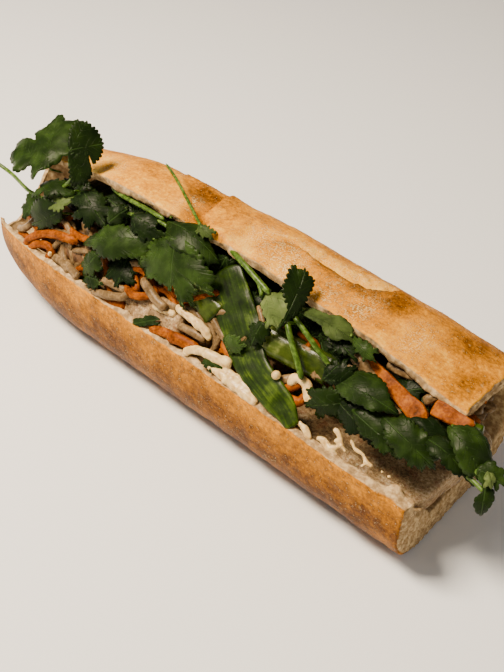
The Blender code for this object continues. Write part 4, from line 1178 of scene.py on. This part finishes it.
def makeCoriander():
    pick = random.Random(5)
    leafMesh, shadeMesh, stemMesh = bmesh.new(), bmesh.new(), bmesh.new()
    names = ("veinAside", "veinAlong", "tint")
    layers, shadeLayers = [[bm.verts.layers.float.new(n) for n in names] for bm in (leafMesh, shadeMesh)]
    for index, (middle, joint, lobes, faces, own) in enumerate(leaves):
        centre = photoPoint(*middle)
        facing = mouthFacing(centre.x, *faces)
        tips = [planePoint(*p[:2], centre, facing) for p in lobes]
        root = planePoint(*joint, centre, facing)
        dips = [lobe[2] if len(lobe) > 2 else None for lobe in lobes]
        addLeaf(leafMesh, layers, centre, facing, tips, root, dips, own, index * 1.37)
        inward = mouthFrame(centre.x)[2]
        if own.get("stalk", True):
            bottom = root + inward * 9 + Vector((0, 1.5, 0))
            stalk = [root.lerp(centre, 0.06) + inward * 2.0, root.lerp(bottom, 0.4), bottom]
            addTube(stemMesh, stalk, leafStyle["stalkRadius"], 7, 8)
    for number in range(shadeLeaves["count"]):
        x = pick.uniform(*shadeLeaves["span"])
        share = pick.uniform(*shadeLeaves["shares"])
        centre = mouthPoint(x, share, pick.uniform(*shadeLeaves["depths"]))
        facing = mouthFacing(x, pick.uniform(-0.5, 0.5), pick.uniform(-0.5, 0.5), 1.0)
        size = pick.uniform(*shadeLeaves["sizes"])
        ahead, side = leafAxes(facing)
        first = pick.uniform(0, 2 * math.pi)
        tips = []
        for angle, reach in shadeLeaves["rays"]:
            a = first + math.radians(angle)
            ray = (ahead * math.cos(a) + side * math.sin(a)) * reach * size
            tips.append(centre + ray * pick.uniform(0.85, 1.1))
        root = centre - (ahead * math.cos(first) + side * math.sin(first)) * size * 0.45
        addLeaf(shadeMesh, shadeLayers, centre, facing, tips, root, [None] * len(tips), shadeLeaves["style"],
                50 + number * 0.77)
    for route, radius in stems:
        addTube(stemMesh, [photoPoint(*p) for p in route], radius, 10, 24, rough=0.03)
    onCrust = [loafPoint(x, angle, -crustStem["out"]) for x, angle in crustStem["route"]]
    addTube(stemMesh, onCrust + [photoPoint(*crustStem["end"])], crustStem["radius"], 8, 30)
    top = leafMaterial("corianderLeafTop", "#0C1806", "#18270A", "#32471C", "#385224", 0.36, 0.3)
    under = leafMaterial("corianderLeafUnder", "#2C3A18", "#48582C", "#6A7846", "#2C3C1C", 0.5, -0.3)
    for bm, name in ((leafMesh, "corianderLeaves"), (shadeMesh, "corianderShadeLeaves")):
        piece = finishPiece(bm, name, [top, under], [])
        shell = piece.modifiers.new("thickness", "SOLIDIFY")
        shell.thickness = leafStyle["thickness"] * mm
        shell.offset = 0.0
        shell.material_offset = 1
    finishPiece(stemMesh, "corianderStems", [stemMaterial()], [])


makeCoriander()


# the mayonnaise

mayo = {
    "ropes": (  # routes as (across, down, depth) and radius
        (((176, 306, 1.0), (186, 314, 0.0), (198, 324, -0.3), (206, 332, 0.5), (210, 340, 1.5)), 1.7),
        (((184, 352, 0.8), (196, 350, 0.0), (208, 354, 0.0), (220, 360, 0.0), (232, 364, 0.5)), 1.9),
        (((208, 364, 1.0), (218, 372, 0.5), (230, 382, 0.3), (242, 392, 0.3), (256, 404, 0.8)), 1.9),
        (((224, 368, 1.2), (236, 378, 0.8), (246, 388, 0.8), (254, 396, 1.2)), 1.7),
        (((288, 384, 2.0), (296, 378, 1.2), (306, 384, 1.0), (308, 396, 1.0), (312, 404, 1.0)), 1.9),
        (((298, 422, 2.0), (306, 430, 1.8), (309, 440, 2.0)), 1.3),
        (((316, 438, 2.6), (324, 440, 2.4), (330, 447, 2.6), (338, 448, 2.6)), 0.9),
        (((334, 428, 2.2), (340, 436, 2.3), (341, 444, 2.4), (346, 453, 2.7)), 0.9),
        (((351, 439, 2.3), (355, 449, 2.5), (363, 455, 2.8), (366, 462, 3.0), (373, 467, 3.3)), 0.85),
        (((150, 304, 3.0), (162, 310, 2.5), (176, 314, 2.0)), 1.5),
        (((322, 440, 2.5), (328, 448, 2.5), (337, 456, 3.2)), 1.2),
    ),
    "drops": (((276, 375, -1.5), 1.8), ((206, 352, -0.3), 1.5), ((50, 254, 0.5), 1.2), ((341, 446, 2.4), 1.0),
              ((226, 380, 0.2), 1.8), ((382, 472, 3.5), 0.7), ((336, 441, 2.6), 0.8), ((362, 466, 3.0), 0.6),
              ((389, 477, 3.7), 0.6)),
    "voxel": 0.45, "softening": 4, "spread": ((0.4, 3.2, 3.0), (0.14, 1.3, 7.0)),
}


def mayoMaterial():  # whipped egg and oil: soft, creamy and wet
    material, add, coords = newMaterial("whippedMayonnaise")
    grain = add("TexNoise", {"Vector": coords, "Scale": perMm(2.0), "Detail": 3.0})
    colour = add("ValToRGB", {0: grain}, stops=((0.3, "#BC9658"), (0.6, "#E4C88C")))
    normal = add("Bump", {"Height": grain, "Distance": 0.3 * mm, "Strength": 0.4})
    setShader(material, Base_Color=colour, Normal=normal, IOR=1.46, Specular_IOR_Level=0.35, Roughness=0.3,
              Subsurface_Weight=0.3, Subsurface_Radius=(0.002, 0.0014, 0.0008))
    return material


def makeMayo():  # one mass of thick sauce, its ropes run together
    bm = bmesh.new()
    for route, radius in mayo["ropes"]:
        addTube(bm, [photoPoint(*p) for p in route], radius, 10, 22, 0.8, 1.0, 0.5, 0.35)
    for place, radius in mayo["drops"]:
        drop = bmesh.ops.create_icosphere(bm, subdivisions=3, radius=radius)["verts"]
        bmesh.ops.translate(bm, verts=drop, vec=photoPoint(*place))
    piece = finishPiece(bm, "mayonnaise", [mayoMaterial()], [])
    blend = piece.modifiers.new("blend", "REMESH")
    blend.mode = "VOXEL"
    blend.voxel_size = mayo["voxel"] * mm
    blend.use_smooth_shade = True
    soften = piece.modifiers.new("soften", "SMOOTH")
    soften.iterations = mayo["softening"]
    applyModifiers(piece)
    for vert in piece.data.vertices:  # spread with a knife: rough, not poured
        vert.co += vert.normal * uneven(vert.co / mm, *mayo["spread"]) * mm


makeMayo()


# the floor and the light

studio = {
    "floorSize": 3.0, "floorDrop": 0.0003, "aim": (0, 0, 0.03), "world": 0.17,
    "lights": (  # name, watts, size in metres, colour, place
        ("keyLight", 19.0, 0.25, "#FFEACC", (-0.28, -0.28, 0.72)),
        ("fillLight", 1.7, 0.8, "#FFF4E4", (-0.65, -0.65, 0.35)),
        ("endLight", 1.0, 0.5, "#FFF0DC", (0.75, 0.05, 0.35)),
    ),
}


def makeStudio():
    bm = bmesh.new()
    bmesh.ops.create_grid(bm, x_segments=1, y_segments=1, size=studio["floorSize"])
    mesh = bpy.data.meshes.new("floor")
    bm.to_mesh(mesh)
    bm.free()
    floor = bpy.data.objects.new("floor", mesh)
    floor.location.z = -studio["floorDrop"]
    bpy.context.scene.collection.objects.link(floor)
    material = newMaterial("paleStudioFloor")[0]
    setShader(material, Base_Color=hexColour("#F0F3F8"), Roughness=0.9)
    mesh.materials.append(material)
    for name, energy, size, tone, place in studio["lights"]:
        data = bpy.data.lights.new(name, "AREA")
        data.energy = energy
        data.color = hexColour(tone)[:3]
        data.size = size
        light = bpy.data.objects.new(name, data)
        light.location = place
        light.rotation_euler = (Vector(studio["aim"]) - Vector(place)).to_track_quat("-Z", "Y").to_euler()
        bpy.context.scene.collection.objects.link(light)
    world = bpy.data.worlds.new("studio")
    world.use_nodes = True
    background = world.node_tree.nodes["Background"]
    background.inputs["Color"].default_value = hexColour("#F4F2EE")
    background.inputs["Strength"].default_value = studio["world"]
    bpy.context.scene.world = world


makeStudio()
print("studio lit")
